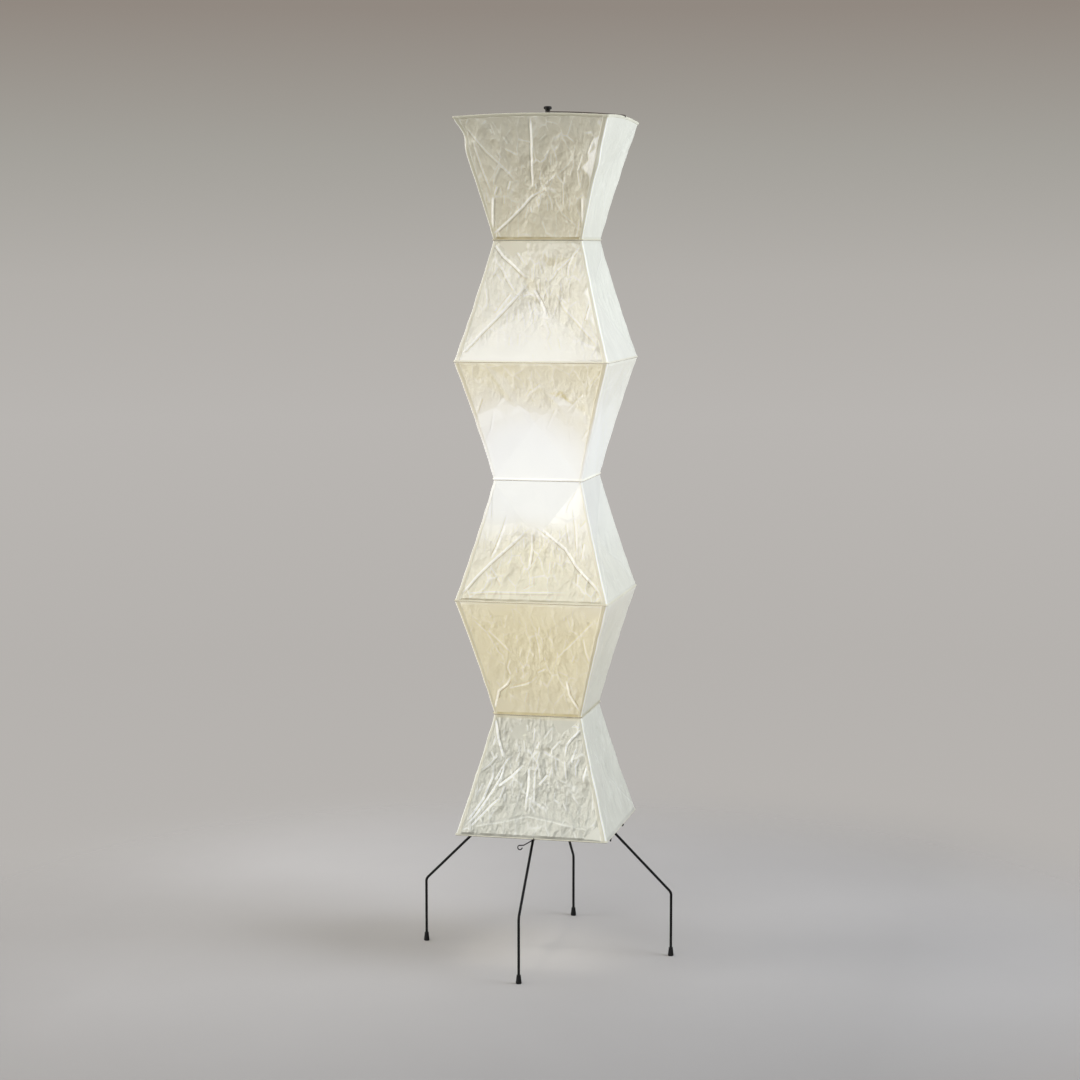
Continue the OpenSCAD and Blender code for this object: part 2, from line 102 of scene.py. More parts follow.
# %% [markdown]
# # A paper lantern floor lamp
# The lamp is a tall shade of six paper tiers that hang between seven square wire ribs. Wide
# ribs and narrow waists take turns, so the outline goes in and out like a row of drums. A bulb
# glows behind the fourth tier, and four bent black legs carry it all.
#
# The rigid parts come ready made from the CAD model, where they were built to size. What is
# left for Blender is what CAD is poor at: creased paper, light that shines through it, and
# finishes that look like the real ones. Lengths are in metres.

# %% [markdown]
# The ribs decide where all the paper goes, so their heights and widths are read from the
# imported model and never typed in. If the CAD model changes, the paper follows it. The top
# rib's sides rise in their middles, so its height is taken from its lowest point.

# %% Measure the ribs
WIRE_R = 0.0015
TIERS = 6
ribs = []
for level in range(TIERS + 1):
    low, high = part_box(f"rib_{level}")
    ribs.append((low.z + WIRE_R, high.x - WIRE_R))
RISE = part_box("rib_6")[1].z - WIRE_R - ribs[TIERS][0]
print("rib heights and half widths:", [(round(z, 3), round(h, 4)) for z, h in ribs])
print("the top rib rises by", round(RISE, 4))

globe_low, globe_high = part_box("bulb_globe")
BULB = Vector(((globe_low.x + globe_high.x) / 2, (globe_low.y + globe_high.y) / 2,
               globe_high.z - (globe_high.x - globe_low.x) / 2))
print("middle of the bulb:", [round(v, 4) for v in BULB])

# %% [markdown]
# Node trees are long to write, because each node is made and wired by hand. Short helpers
# keep them readable. One adds a node and fills its sockets, with a number or a wire from
# another node. The others add one step of arithmetic with numbers or with vectors, take a
# vector apart, map a value from one range to another, make noise or read an attribute. Most
# serve Geometry Nodes and shader nodes alike, because both kinds of tree share those nodes.


# %% Helpers for node trees
def fill(tree, socket, value):
    if isinstance(value, bpy.types.NodeSocket):
        tree.links.new(value, socket)
    else:
        socket.default_value = value


def add(tree, kind, inputs=None, **settings):
    node = tree.nodes.new(kind)
    for name, value in settings.items():
        setattr(node, name, value)
    for key, value in (inputs or {}).items():
        fill(tree, node.inputs[key], value)
    return node


def calc(tree, operation, *values):
    node = tree.nodes.new("ShaderNodeMath")
    node.operation = operation
    for socket, value in zip(node.inputs, values):
        fill(tree, socket, value)
    return node.outputs[0]


def steer(tree, operation, *values):
    node = add(tree, "ShaderNodeVectorMath", dict(enumerate(values)), operation=operation)
    return node.outputs["Value" if operation in ("DOT_PRODUCT", "LENGTH") else "Vector"]


def scaled(tree, vector, factor):
    return add(tree, "ShaderNodeVectorMath", {0: vector, "Scale": factor},
               operation="SCALE").outputs[0]


def split(tree, vector):
    return add(tree, "ShaderNodeSeparateXYZ", {0: vector}).outputs


def window(tree, value, near, far, first=1.0, last=0.0, smooth="LINEAR"):
    return add(tree, "ShaderNodeMapRange", {0: value, 1: near, 2: far, 3: first, 4: last},
               interpolation_type=smooth).outputs[0]


def noise(tree, place, scale, detail=2.0):
    return add(tree, "ShaderNodeTexNoise",
               {"Vector": place, "Scale": scale, "Detail": detail}).outputs


def attribute(tree, name):
    return add(tree, "ShaderNodeAttribute", attribute_name=name).outputs["Fac"]


def object_place(tree):
    return add(tree, "ShaderNodeTexCoord").outputs["Object"]


# %% [markdown]
# A shader group is a tree that materials share. It is opened with its named inputs and
# outputs, and closed with a wire for each output.


# %% Open and close a shader group
def open_group(name, inputs, outputs):
    tree = bpy.data.node_groups.new(name, "ShaderNodeTree")
    for label, value in inputs.items():
        tree.interface.new_socket(
            label, in_out="INPUT", socket_type="NodeSocketFloat").default_value = value
    for label in outputs:
        kind = "NodeSocketColor" if label == "Light" else "NodeSocketFloat"
        tree.interface.new_socket(label, in_out="OUTPUT", socket_type=kind)
    return tree, tree.nodes.new("NodeGroupInput").outputs


def close_group(tree, results):
    ends = tree.nodes.new("NodeGroupOutput").inputs
    for label, socket in results.items():
        tree.links.new(socket, ends[label])
    print(tree.name, "has", len(tree.nodes), "nodes")


# %% [markdown]
# A new shape tree starts from a list of named sizes. The names show in the modifier's panel,
# where a reader can change them by hand.

# %% Start a tree of shape nodes
SOCKETS = {float: "NodeSocketFloat", int: "NodeSocketInt"}


def shape_tree(name, sizes):
    tree = bpy.data.node_groups.new(name, "GeometryNodeTree")
    tree.interface.new_socket("Geometry", in_out="OUTPUT", socket_type="NodeSocketGeometry")
    for label, value in sizes.items():
        tree.interface.new_socket(
            label, in_out="INPUT", socket_type=SOCKETS[type(value)]).default_value = value
    tree.interface.new_socket("Material", in_out="INPUT", socket_type="NodeSocketMaterial")
    return tree, tree.nodes.new("NodeGroupInput").outputs


def end_tree(tree, geometry, material):
    smooth = add(tree, "GeometryNodeSetShadeSmooth", {"Geometry": geometry})
    real = add(tree, "GeometryNodeRealizeInstances", {"Geometry": smooth.outputs[0]})
    dressed = add(tree, "GeometryNodeSetMaterial",
                  {"Geometry": real.outputs[0], "Material": material})
    tree.links.new(dressed.outputs[0], tree.nodes.new("NodeGroupOutput").inputs[0])


# %% [markdown]
# The tree is used through a modifier. Its inputs are set by each socket's identifier, before
# Blender looks at the object. The result is then made a plain mesh, because later steps move
# its points one by one. A small helper puts each new object into the scene.


# %% Grow a plain mesh from a tree
def put(name, data):
    thing = bpy.data.objects.new(name, data)
    bpy.context.scene.collection.objects.link(thing)
    return thing


def grown(name, tree, values):
    piece = put(name, bpy.data.meshes.new(name))
    modifier = piece.modifiers.new("shape", "NODES")
    modifier.node_group = tree
    for item in tree.interface.items_tree:
        if item.in_out == "INPUT" and item.name in values:
            modifier[item.identifier] = values[item.name]
    graph = bpy.context.evaluated_depsgraph_get()
    piece.data = bpy.data.meshes.new_from_object(piece.evaluated_get(graph))
    piece.data.name = name
    piece.modifiers.remove(modifier)
    return piece


# %% [markdown]
# ## The light that comes through the paper
# Real paper lets light through. Rendering that by tracing rays through a thin sheet is slow
# and noisy, and it is lost when the model is exported. Here the paper gives off a little
# light of its own, as much as the bulb would send through it at each place.
#
# Two parts add up. Scattered light has bounced about inside the shade: it turns tan on its
# way through. Direct light is strong near the bulb, falls with the square of the distance and
# with the angle at which it meets the sheet, and stays nearly white. A sheet can't get
# brighter without end, so an exponential curve rounds off the sum.

# %% Shader group: light behind the paper
glow, glow_in = open_group("bulb_glow", {"Layers": 1.0, "Tone": 1.0}, ("Light", "Hot"))
place = object_place(glow)
to_bulb = steer(glow, "SUBTRACT", tuple(BULB), place)
away = steer(glow, "LENGTH", to_bulb)
toward = steer(glow, "NORMALIZE", to_bulb)
x, y, height = split(glow, place)

# %% [markdown]
# The face's own normal points outwards on the outer skin and inwards on the inner one. The
# sign of its turn away from the lamp's axis tells them apart, so both skins agree.

# %% Find which way is out
radial = add(glow, "ShaderNodeCombineXYZ", {0: x, 1: y, 2: 0.0}).outputs[0]
normal = add(glow, "ShaderNodeNewGeometry").outputs["Normal"]
out = scaled(glow, normal, calc(glow, "SIGN", steer(glow, "DOT_PRODUCT", normal, radial)))
rightward, _, lean = split(glow, out)
facing = steer(glow, "DOT_PRODUCT", out, toward)
near_side = steer(glow, "DOT_PRODUCT", out, Vector((BULB.x, BULB.y, 0)).normalized())

# %% [markdown]
# Scattered light follows the height: strongest round the bulb, weaker towards both ends, and
# very weak in the lowest tier, whose panels turn their backs to the bulb. A colour ramp holds
# that as a few grey stops. The bulb hangs nearer to two of the sides, which get more.

# %% Scattered and direct light
SCATTER = [
    (0.0, 0.01), (0.16, 0.06), (0.165, 0.31), (0.25, 0.47), (0.33, 0.60), (0.335, 0.33),
    (0.42, 0.46), (0.50, 0.70), (0.58, 0.75), (0.66, 0.56), (0.68, 0.38), (0.75, 0.31),
    (0.83, 0.22), (0.92, 0.15), (1.0, 0.09)]
BEAM = 0.115


def ramp(tree, value, stops, grey=True):
    node = add(tree, "ShaderNodeValToRGB", {0: value})
    marks = node.color_ramp.elements
    while len(marks) < len(stops):
        marks.new(0.5)
    for mark, (at, shade) in zip(marks, stops):
        mark.position = at
        mark.color = (shade, shade, shade, 1) if grey else (*shade, 1)
    return node.outputs[0]


share = window(glow, height, ribs[0][0], ribs[TIERS][0], 0.0, 1.0)
nearness = window(glow, near_side, -0.7, 0.7, 0.7, 1.6)
scattered = calc(glow, "DIVIDE", calc(
    glow, "MULTIPLY", ramp(glow, share, SCATTER), nearness), glow_in["Layers"])

meets = calc(glow, "MAXIMUM", calc(glow, "MULTIPLY", facing, -1.0), 0.0)
beam = calc(glow, "DIVIDE", calc(glow, "MULTIPLY", meets, BEAM),
            calc(glow, "MULTIPLY", away, away))
clear = window(glow, split(glow, toward)[2], 0.52, 1.0, smooth="SMOOTHSTEP")
direct = calc(glow, "DIVIDE", calc(glow, "MULTIPLY", beam, clear), glow_in["Layers"])

# %% [markdown]
# The two parts are mixed for red, green and blue apart, because the paper holds back blue the
# most. Tone comes in before the limit, so folds vanish where the bulb outshines them. The
# limit is lower on panels that lean back, which catch more of the room's own light, and on
# the right-hand panels, which a lamp lights already.

# %% The glow's colour
limit = calc(glow, "SUBTRACT", window(glow, lean, -0.1, 0.1, 0.50, 0.385),
             window(glow, rightward, 0.3, 1.0, 0.0, 0.33))


def band(through, straight, extra):
    light = calc(glow, "MULTIPLY_ADD", scattered, through,
                 calc(glow, "MULTIPLY", direct, straight))
    soft = calc(glow, "SUBTRACT", 1.0, calc(glow, "EXPONENT", calc(
        glow, "MULTIPLY", calc(glow, "MULTIPLY", light, glow_in["Tone"]), -1.0)))
    return calc(glow, "MULTIPLY", soft, calc(glow, "ADD", limit, extra))


light = add(glow, "ShaderNodeCombineColor",
            {0: band(1.0, 1.0, 0.0), 1: band(0.68, 0.98, 0.0), 2: band(0.19, 1.05, 0.025)})
close_group(glow, {"Light": light.outputs[0], "Hot": calc(glow, "MINIMUM", direct, 1.0)})

# %% [markdown]
# ## The look of the paper itself
# Lantern paper is a thin sheet of plant fibres. Close up, long fibres cross in every
# direction, and from a step away the sheet looks slightly cloudy. One group makes both: fine
# stretched noise for the fibres and wide soft noise for the clouds. Noise is used because a
# repeating pattern would look printed.

# %% Shader group: fibres of the paper
fibres, fibre_in = open_group("paper_fibres", {"Scale": 1.0}, ("Cloud", "Height"))
spot = object_place(fibres)
strands = []
for turn in (0.35, -0.6, 1.4):
    laid = add(fibres, "ShaderNodeMapping",
               {"Vector": spot, "Rotation": (turn, turn * 0.7, turn), "Scale": (60, 60, 700)})
    hair = noise(fibres, laid.outputs[0], fibre_in["Scale"])[0]
    strands.append(calc(fibres, "SUBTRACT", 1.0, calc(
        fibres, "MULTIPLY", 6.0, calc(fibres, "ABSOLUTE", calc(
            fibres, "SUBTRACT", hair, 0.5)))))
hairs = calc(fibres, "MAXIMUM", calc(fibres, "MAXIMUM", *strands[:2]), strands[2])
close_group(fibres, {
    "Cloud": calc(fibres, "MULTIPLY_ADD", hairs, 0.12, noise(fibres, spot, 14.0, 4.0)[0]),
    "Height": calc(fibres, "MULTIPLY_ADD", hairs, 0.5, noise(fibres, spot, 900.0, 3.0)[0])})

# %% [markdown]
# Where a sheet has been crushed, it is covered with small flat facets. Voronoi cells make
# them: the distance from each cell's middle is a cone, so cells meet in sharp ridges. Four
# sizes of cell are laid over each other. The larger ones are stretched and turned, because
# creases run on, and their place is first shaken with noise, so that no cell looks like a
# cell. The edge mask whitens the sharpest ridges, partly as bent fibres do and partly as a
# painted highlight.

# %% Shader group: crushed paper
CELLS = ((36, 0.26, 0.55, 0.38), (52, 0.30, -0.75, 0.40), (110, 0.34, 0.2, 0.6),
         (210, 0.24, -0.3, 0.8))
crushed, crushed_in = open_group("crushed_paper", {"Amount": 0.5}, ("Height", "Ridge"))
spot = object_place(crushed)
shaken = steer(crushed, "MULTIPLY_ADD", noise(crushed, spot, 14.0)["Color"],
               (0.022, 0.022, 0.022), spot)
height, ways = 0.0, []
for cells, slope, tilt, long in CELLS:
    ways.append(add(crushed, "ShaderNodeMapping", {
        "Vector": shaken, "Rotation": (tilt, tilt, 0.3), "Scale": (1, 1, long)}).outputs[0])
    cell = add(crushed, "ShaderNodeTexVoronoi", {"Vector": ways[-1], "Scale": cells})
    height = calc(crushed, "MULTIPLY_ADD", cell.outputs["Distance"], slope / cells, height)
# Ridge whitening: partly bent fibres, partly painted highlight.
rim = add(crushed, "ShaderNodeTexVoronoi", {"Vector": ways[0], "Scale": CELLS[0][0]},
          feature="DISTANCE_TO_EDGE")
ridge = calc(crushed, "MULTIPLY", window(crushed, rim.outputs["Distance"], 0.01, 0.06),
             window(crushed, noise(crushed, spot, 30.0)[0], 0.42, 0.58, 0.0, 1.0))
close_group(crushed, {"Height": calc(crushed, "MULTIPLY", height, crushed_in["Amount"]),
                      "Ridge": calc(crushed, "MULTIPLY", ridge, crushed_in["Amount"])})

# %% [markdown]
# Large folds are drawn as lines on each panel later on. A mask of a thin line would look
# jagged on the mesh, so its points store something smoother instead: "gap" is the distance
# to the nearest fold, with a sign for its side, and "fold" is how strong that fold is. The
# material turns the gap into a line as sharp as it likes. A fold gets a painted highlight
# along its top; it is steep on one side, with a painted shade beside it, and falls off
# gently on the other. Part of its relief is in the mesh too, so the bump here is low.

# %% Shader group: drawn folds
folds, _ = open_group("drawn_folds", {}, ("Height", "Line", "Shade"))
gap, fold = attribute(folds, "gap"), attribute(folds, "fold")
steep, gentle = window(folds, gap, 0.0, 0.0042), window(folds, gap, -0.013, 0.0, 0.0, 1.0)
thick = calc(folds, "MULTIPLY_ADD", fold, 0.9, 0.35)
# Painted highlight: a thin line along the top of each fold.
line = window(folds, calc(folds, "DIVIDE", calc(folds, "ABSOLUTE", gap), thick),
              0.0006, 0.0026)
# Painted shade: a band on the steep side of each fold.
beside = window(folds, calc(folds, "ABSOLUTE", calc(folds, "SUBTRACT", gap, 0.0045)),
                0.0006, 0.0026)
close_group(folds, {
    "Height": calc(folds, "MULTIPLY", calc(folds, "MULTIPLY", fold, 0.0006),
                   calc(folds, "MULTIPLY", steep, gentle)),
    "Line": calc(folds, "MULTIPLY", line, fold),
    "Shade": calc(folds, "MULTIPLY", beside, fold)})

# %% [markdown]
# The material puts the groups together. Where two sheets lap, as on seams and hems, the glow
# is divided by the number of layers. The paper is calendered smooth, so its facets shine.
# "Edge" is painted highlight: a bright line along each glued corner and a bright band
# beside the front right seam. Folds and ridges are whiter than the sheet, partly as bent
# fibres are and partly as painted highlight, and with the edges they also get a painted glow
# of their own. Round the hot spot all relief calms down, because the light washes it out.

# %% The paper's material
PAPER, PAPER_TWICE = (0.865, 0.865, 0.735), (0.84, 0.82, 0.65)
FOLD_WHITE_AND_HIGHLIGHT, FOLD_HIGHLIGHT_GLOW = (0.96, 0.96, 0.92, 1), (0.34, 0.35, 0.34)
FIBRE_HEIGHT = 0.00008


def mix(tree, factor, one, other, blend="MIX"):
    node = add(tree, "ShaderNodeMix", data_type="RGBA", blend_type=blend)
    fill(tree, node.inputs[0], factor)
    fill(tree, node.inputs[6], one)
    fill(tree, node.inputs[7], other)
    return node.outputs[2]


def shiny(name, **sockets):
    material = bpy.data.materials.new(name)
    material.use_nodes = True
    shader = material.node_tree.nodes["Principled BSDF"]
    for key, value in sockets.items():
        shader.inputs[key.replace("_", " ")].default_value = value
    return material, material.node_tree, shader


def lantern_paper(name, colour, layers):
    material, tree, shader = shiny(name, Roughness=0.36, IOR=1.5)
    shader.inputs["Specular IOR Level"].default_value = 0.5
    shader.inputs["Emission Strength"].default_value = 1.0
    sheet = add(tree, "ShaderNodeGroup", {"Scale": 1.0}, node_tree=fibres)
    crush = add(tree, "ShaderNodeGroup", {"Amount": attribute(tree, "worn")},
                node_tree=crushed)
    drawn = add(tree, "ShaderNodeGroup", node_tree=folds)
    # Painted highlight: fold lines, ridges and edges whiten the paper, partly as bent fibres do.
    fibre_white_and_highlight = calc(tree, "MAXIMUM", attribute(tree, "edge"), calc(
        tree, "MAXIMUM", drawn.outputs["Line"], calc(
            tree, "MULTIPLY", crush.outputs["Ridge"], 0.6)))
    cloud = window(tree, sheet.outputs["Cloud"], 0.35, 0.75, 0.95, 1.03)
    # Cloudy tone of the paper, darkened beside each fold by painted shade.
    cloud_and_painted_shade = calc(tree, "MULTIPLY", cloud, calc(
        tree, "MULTIPLY_ADD", drawn.outputs["Shade"], -0.28, 1.0))
    light = add(tree, "ShaderNodeGroup", {"Layers": layers, "Tone": cloud_and_painted_shade}, node_tree=glow)
    fill(tree, shader.inputs["Base Color"], mix(
        tree, calc(tree, "MULTIPLY", fibre_white_and_highlight, 0.7), scaled(tree, colour, cloud_and_painted_shade),
        FOLD_WHITE_AND_HIGHLIGHT))
    # Painted highlight: the same mask adds a glow of its own, except near the bulb.
    highlight_glow = calc(tree, "MULTIPLY", fibre_white_and_highlight, calc(
        tree, "MULTIPLY_ADD", light.outputs["Hot"], -1.0, 1.0))
    fill(tree, shader.inputs["Emission Color"], steer(
        tree, "ADD", light.outputs["Light"], scaled(tree, FOLD_HIGHLIGHT_GLOW, highlight_glow)))
    calm = window(tree, light.outputs["Hot"], 0.5, 1.0, 1.0, 0.0)
    height = calc(tree, "MULTIPLY", calm, calc(
        tree, "MULTIPLY_ADD", sheet.outputs["Height"], FIBRE_HEIGHT, calc(
            tree, "ADD", crush.outputs["Height"], drawn.outputs["Height"])))
    bump = add(tree, "ShaderNodeBump", {"Strength": 1.0, "Distance": 1.0, "Height": height})
    fill(tree, shader.inputs["Normal"], bump.outputs[0])
    return material


paper = lantern_paper("lantern_paper", PAPER, 1.0)
lapped_paper = lantern_paper("lapped_paper", PAPER_TWICE, 2.0)
print("materials:", paper.name, "and", lapped_paper.name)

# %% [markdown]
# ## Bending a flat grid round the lamp
# Both the tiers and the hems on the ribs begin as a flat grid, four units long and one unit
# high, with one unit for each side of the lamp. A point's place on it says which panel it
# belongs to, how far across that panel it is (from -1 to 1) and how far up (from 0 to 1).
# The rest of a tree turns those shares into a distance out from the axis and a distance along
# the panel. Turning both by a quarter turn for each panel then closes the tube.


# %% Open a grid and close it round
def flat_grid(tree, columns, rows):
    return add(tree, "GeometryNodeMeshGrid", {
        "Size X": 4.0, "Size Y": 1.0, "Vertices X": calc(tree, "ADD", columns, 1),
        "Vertices Y": calc(tree, "ADD", rows, 1)}).outputs["Mesh"]


def panel_shares(tree):
    flat = split(tree, tree.nodes.new("GeometryNodeInputPosition").outputs[0])
    walk, up = calc(tree, "ADD", flat[0], 2.0), calc(tree, "ADD", flat[1], 0.5)
    panel = calc(tree, "FLOOR", calc(tree, "MINIMUM", walk, 3.9999))
    across = calc(tree, "MULTIPLY_ADD", calc(tree, "SUBTRACT", walk, panel), 2.0, -1.0)
    return walk, up, panel, across


def close_round(tree, mesh, panel, out, along, height):
    turn = calc(tree, "MULTIPLY", panel, math.pi / 2)
    cos, sin = calc(tree, "COSINE", turn), calc(tree, "SINE", turn)
    x = calc(tree, "SUBTRACT", calc(tree, "MULTIPLY", out, cos),
             calc(tree, "MULTIPLY", along, sin))
    y = calc(tree, "ADD", calc(tree, "MULTIPLY", out, sin), calc(tree, "MULTIPLY", along, cos))
    place = add(tree, "ShaderNodeCombineXYZ", {0: x, 1: y, 2: height}).outputs[0]
    return add(tree, "GeometryNodeSetPosition",
               {"Geometry": mesh, "Position": place}).outputs[0]


# %% [markdown]
# ## One tier of the shade
# A tier is a tube of four panels between two square ribs, one wide and one narrow. Its shape
# follows a rule, so Geometry Nodes can make it. It has an outer skin with a fine grid and an
# inner one with a coarse grid, which close the sheet.
#
# Two details make it look like paper and not like card. The corner seams draw in between the
# ribs, and each panel sinks in its middle, which folds it along its two diagonals. The sink
# is an upside-down pyramid: its depth grows with the distance from the nearest side, and the
# folds stay straight because both distances are straight-line rules.

# %% The tree for a waisted tier
SEAM_SAG, STAND_OFF = 0.002, 0.0012
COLUMNS, ROWS = 150, 134
TIER_SIZES = {
    "Lower Half": 0.174, "Upper Half": 0.1015, "Lower Height": 0.3, "Upper Height": 0.567,
    "Stand Off": STAND_OFF, "Seam Sag": SEAM_SAG, "Corner": 0.009, "Dent": 0.020,
    "Skin": 0.004, "Rise": 0.0, "Columns": COLUMNS, "Rows": ROWS, "Inner Rows": 24, "Seed": 1}
tier_tree, size = shape_tree("waisted_tier", TIER_SIZES)
t = tier_tree



def store(tree, geometry, name, value):
    return add(tree, "GeometryNodeStoreNamedAttribute",
               {"Geometry": geometry, "Name": name, "Value": value},
               data_type="FLOAT", domain="POINT").outputs[0]


around = calc(t, "MULTIPLY", size["Columns"], 4)
back_skin = add(t, "GeometryNodeFlipFaces", {"Mesh": flat_grid(t, around, size["Inner Rows"])})
both = add(t, "GeometryNodeJoinGeometry")
t.links.new(flat_grid(t, around, size["Rows"]), both.inputs[0])
t.links.new(store(t, back_skin.outputs[0], "inner", 1.0), both.inputs[0])
is_inner = add(t, "GeometryNodeInputNamedAttribute", {"Name": "inner"},
               data_type="FLOAT").outputs[0]
walk, up, panel, across = panel_shares(t)

# %% [markdown]
# The share up the panel gives the half width there. The pyramid's depth needs the share of
# the way from the middle to the nearest side: towards the ribs it is twice the share from
# half height, and towards the seams it allows for the panel's taper. The inner skin lies a
# little further in, but meets the outer one at the ribs, so that the two close.

# %% Width, sag and dent by rule
widening = calc(t, "SUBTRACT", size["Upper Half"], size["Lower Half"])
straight_half = calc(t, "MULTIPLY_ADD", widening, up, size["Lower Half"])
middle_half = calc(t, "MULTIPLY_ADD", widening, 0.5, size["Lower Half"])
from_middle = calc(t, "SUBTRACT", up, 0.5)
bulge = calc(t, "MULTIPLY", 4.0, calc(t, "MULTIPLY", up, calc(t, "SUBTRACT", 1.0, up)))
half = calc(t, "ADD", size["Stand Off"], calc(t, "SUBTRACT", straight_half, calc(
    t, "MULTIPLY", bulge, calc(t, "MULTIPLY_ADD", size["Skin"], is_inner, size["Seam Sag"]))))
to_rib = calc(t, "MULTIPLY", 2.0, calc(t, "ABSOLUTE", from_middle))
to_seam = calc(t, "DIVIDE", calc(t, "SUBTRACT", calc(
    t, "MULTIPLY", calc(t, "ABSOLUTE", across), straight_half), calc(
        t, "MULTIPLY", widening, from_middle)), middle_half)
slack = add(t, "FunctionNodeRandomValue", {2: 0.75, 3: 1.2, "ID": panel,
                                           "Seed": size["Seed"]}, data_type="FLOAT")
inward = calc(t, "MULTIPLY", calc(t, "MULTIPLY", size["Dent"], slack.outputs[1]), calc(
    t, "SUBTRACT", 1.0, calc(t, "MAXIMUM", to_rib, to_seam)))
arch = calc(t, "MULTIPLY", calc(t, "MULTIPLY", size["Rise"], up), calc(
    t, "SUBTRACT", 1.0, calc(t, "MULTIPLY", across, across)))

# %% [markdown]
# Paper doesn't turn a sharp corner: it bends round the rib's own bend. Within one corner
# radius of a seam, the point leaves the flat panel and runs round an eighth of a turn, and
# the next panel takes the other eighth.

# %% Round corners
from_seam = calc(t, "MULTIPLY", half, calc(t, "SUBTRACT", 1.0, calc(t, "ABSOLUTE", across)))
bent = calc(t, "MULTIPLY", math.pi / 4, calc(t, "MAXIMUM", 0.0, calc(
    t, "SUBTRACT", 1.0, calc(t, "DIVIDE", from_seam, size["Corner"]))))
reach = calc(t, "MINIMUM", calc(t, "MULTIPLY", calc(t, "ABSOLUTE", across), half),
             calc(t, "SUBTRACT", half, size["Corner"]))
along = calc(t, "MULTIPLY", calc(t, "SIGN", across), calc(
    t, "MULTIPLY_ADD", size["Corner"], calc(t, "SINE", bent), reach))
cut = calc(t, "MULTIPLY", size["Corner"], calc(t, "SUBTRACT", 1.0, calc(t, "COSINE", bent)))
out_from_axis = calc(t, "SUBTRACT", calc(t, "SUBTRACT", half, inward), cut)

# %% [markdown]
# Each point now has a distance out from the axis and a distance along its panel, so the tube
# can be closed. The two shares are kept as attributes, because the creases need them.

# %% Bend the grid round four sides
tall = calc(t, "SUBTRACT", size["Upper Height"], size["Lower Height"])
height = calc(t, "ADD", calc(t, "MULTIPLY_ADD", tall, up, size["Lower Height"]), arch)
geometry = store(t, store(t, both.outputs[0], "walk", walk), "up", up)
moved = close_round(t, geometry, panel, out_from_axis, along, height)
end_tree(t, moved, size["Material"])
print("tier tree:", len(t.nodes), "nodes")

# %% [markdown]
# ## Creases
# A sheet that has been folded flat and opened again is a net of small flat facets. The eye
# sees the edges between them as thin bright and dark lines. A random noise would give soft
# hills, so two things are laid over each panel instead. The first is a net of triangles:
# random points get random heights, and between them the height runs straight. It comes from
# Blender's own Delaunay function, and the panel's border stays flat, where the paper is
# glued.


# %% Facets between random points
def facets(rng, x, y, widths, tall, count, relief):
    def on_panel(u, v):
        return Vector((u * (widths[0] + (widths[1] - widths[0]) * v), v * tall))

    border = [(u, v) for v in (0.0, 1.0) for u in (-1.0, -0.62, -0.2, 0.25, 0.66, 1.0)]
    border += [(u, v) for u in (-1.0, 1.0) for v in (0.22, 0.45, 0.74)]
    loose = list(zip(rng.uniform(-0.92, 0.92, count), rng.uniform(0.07, 0.93, count)))
    heights = np.concatenate([np.zeros(len(border)), rng.uniform(-relief, relief, count)])
    made = delaunay_2d_cdt([on_panel(u, v) for u, v in border + loose], [], [], 0, 1e-6)
    spots, source = made[0], made[3]
    field = np.zeros_like(x)
    for a, b, c in made[2]:
        (ax, ay), (bx, by), (cx, cy) = spots[a], spots[b], spots[c]
        ha, hb, hc = (heights[source[k][0]] for k in (a, b, c))
        area = (bx - ax) * (cy - ay) - (cx - ax) * (by - ay)
        wb = ((x - ax) * (cy - ay) - (cx - ax) * (y - ay)) / area
        wc = ((bx - ax) * (y - ay) - (x - ax) * (by - ay)) / area
        inside = (wb >= -1e-6) & (wc >= -1e-6) & (wb + wc <= 1 + 1e-6)
        field[inside] = (ha + wb * (hb - ha) + wc * (hc - ha))[inside]
    return field


# %% [markdown]
# The second is a set of folds, drawn as lines. For every point of the panel, the nearest
# strong fold wins and leaves its strength and its signed gap there. The strength fades
# towards the ends of the line, so a fold melts into the sheet.

# %% Measure the gap to each fold
REACH = 0.013


def nearest_fold(x, y, lines):
    fold, gap, best = np.zeros_like(x), np.full_like(x, REACH), np.zeros_like(x)
    for strength, line, side in lines:
        steps = np.hypot(*np.diff(line, axis=0).T)
        gone = 0.0
        for start, end, step in zip(line[:-1], line[1:], steps):
            way = (end - start) / step
            part = np.clip((x - start[0]) * way[0] + (y - start[1]) * way[1], 0, step)
            dx, dy = x - start[0] - part * way[0], y - start[1] - part * way[1]
            apart = np.hypot(dx, dy)
            share = (gone + part) / steps.sum()
            fade = strength * np.clip(np.minimum(share / 0.10, (1 - share) / 0.22), 0, 1)
            weight = fade * np.clip(1 - apart / REACH, 0, 1)
            wins = weight > best
            sign = np.where((dx * way[1] - dy * way[0]) * side < 0, -1.0, 1.0)
            best[wins], fold[wins] = weight[wins], fade[wins]
            gap[wins] = (sign * apart)[wins]
            gone += step
    return fold, gap
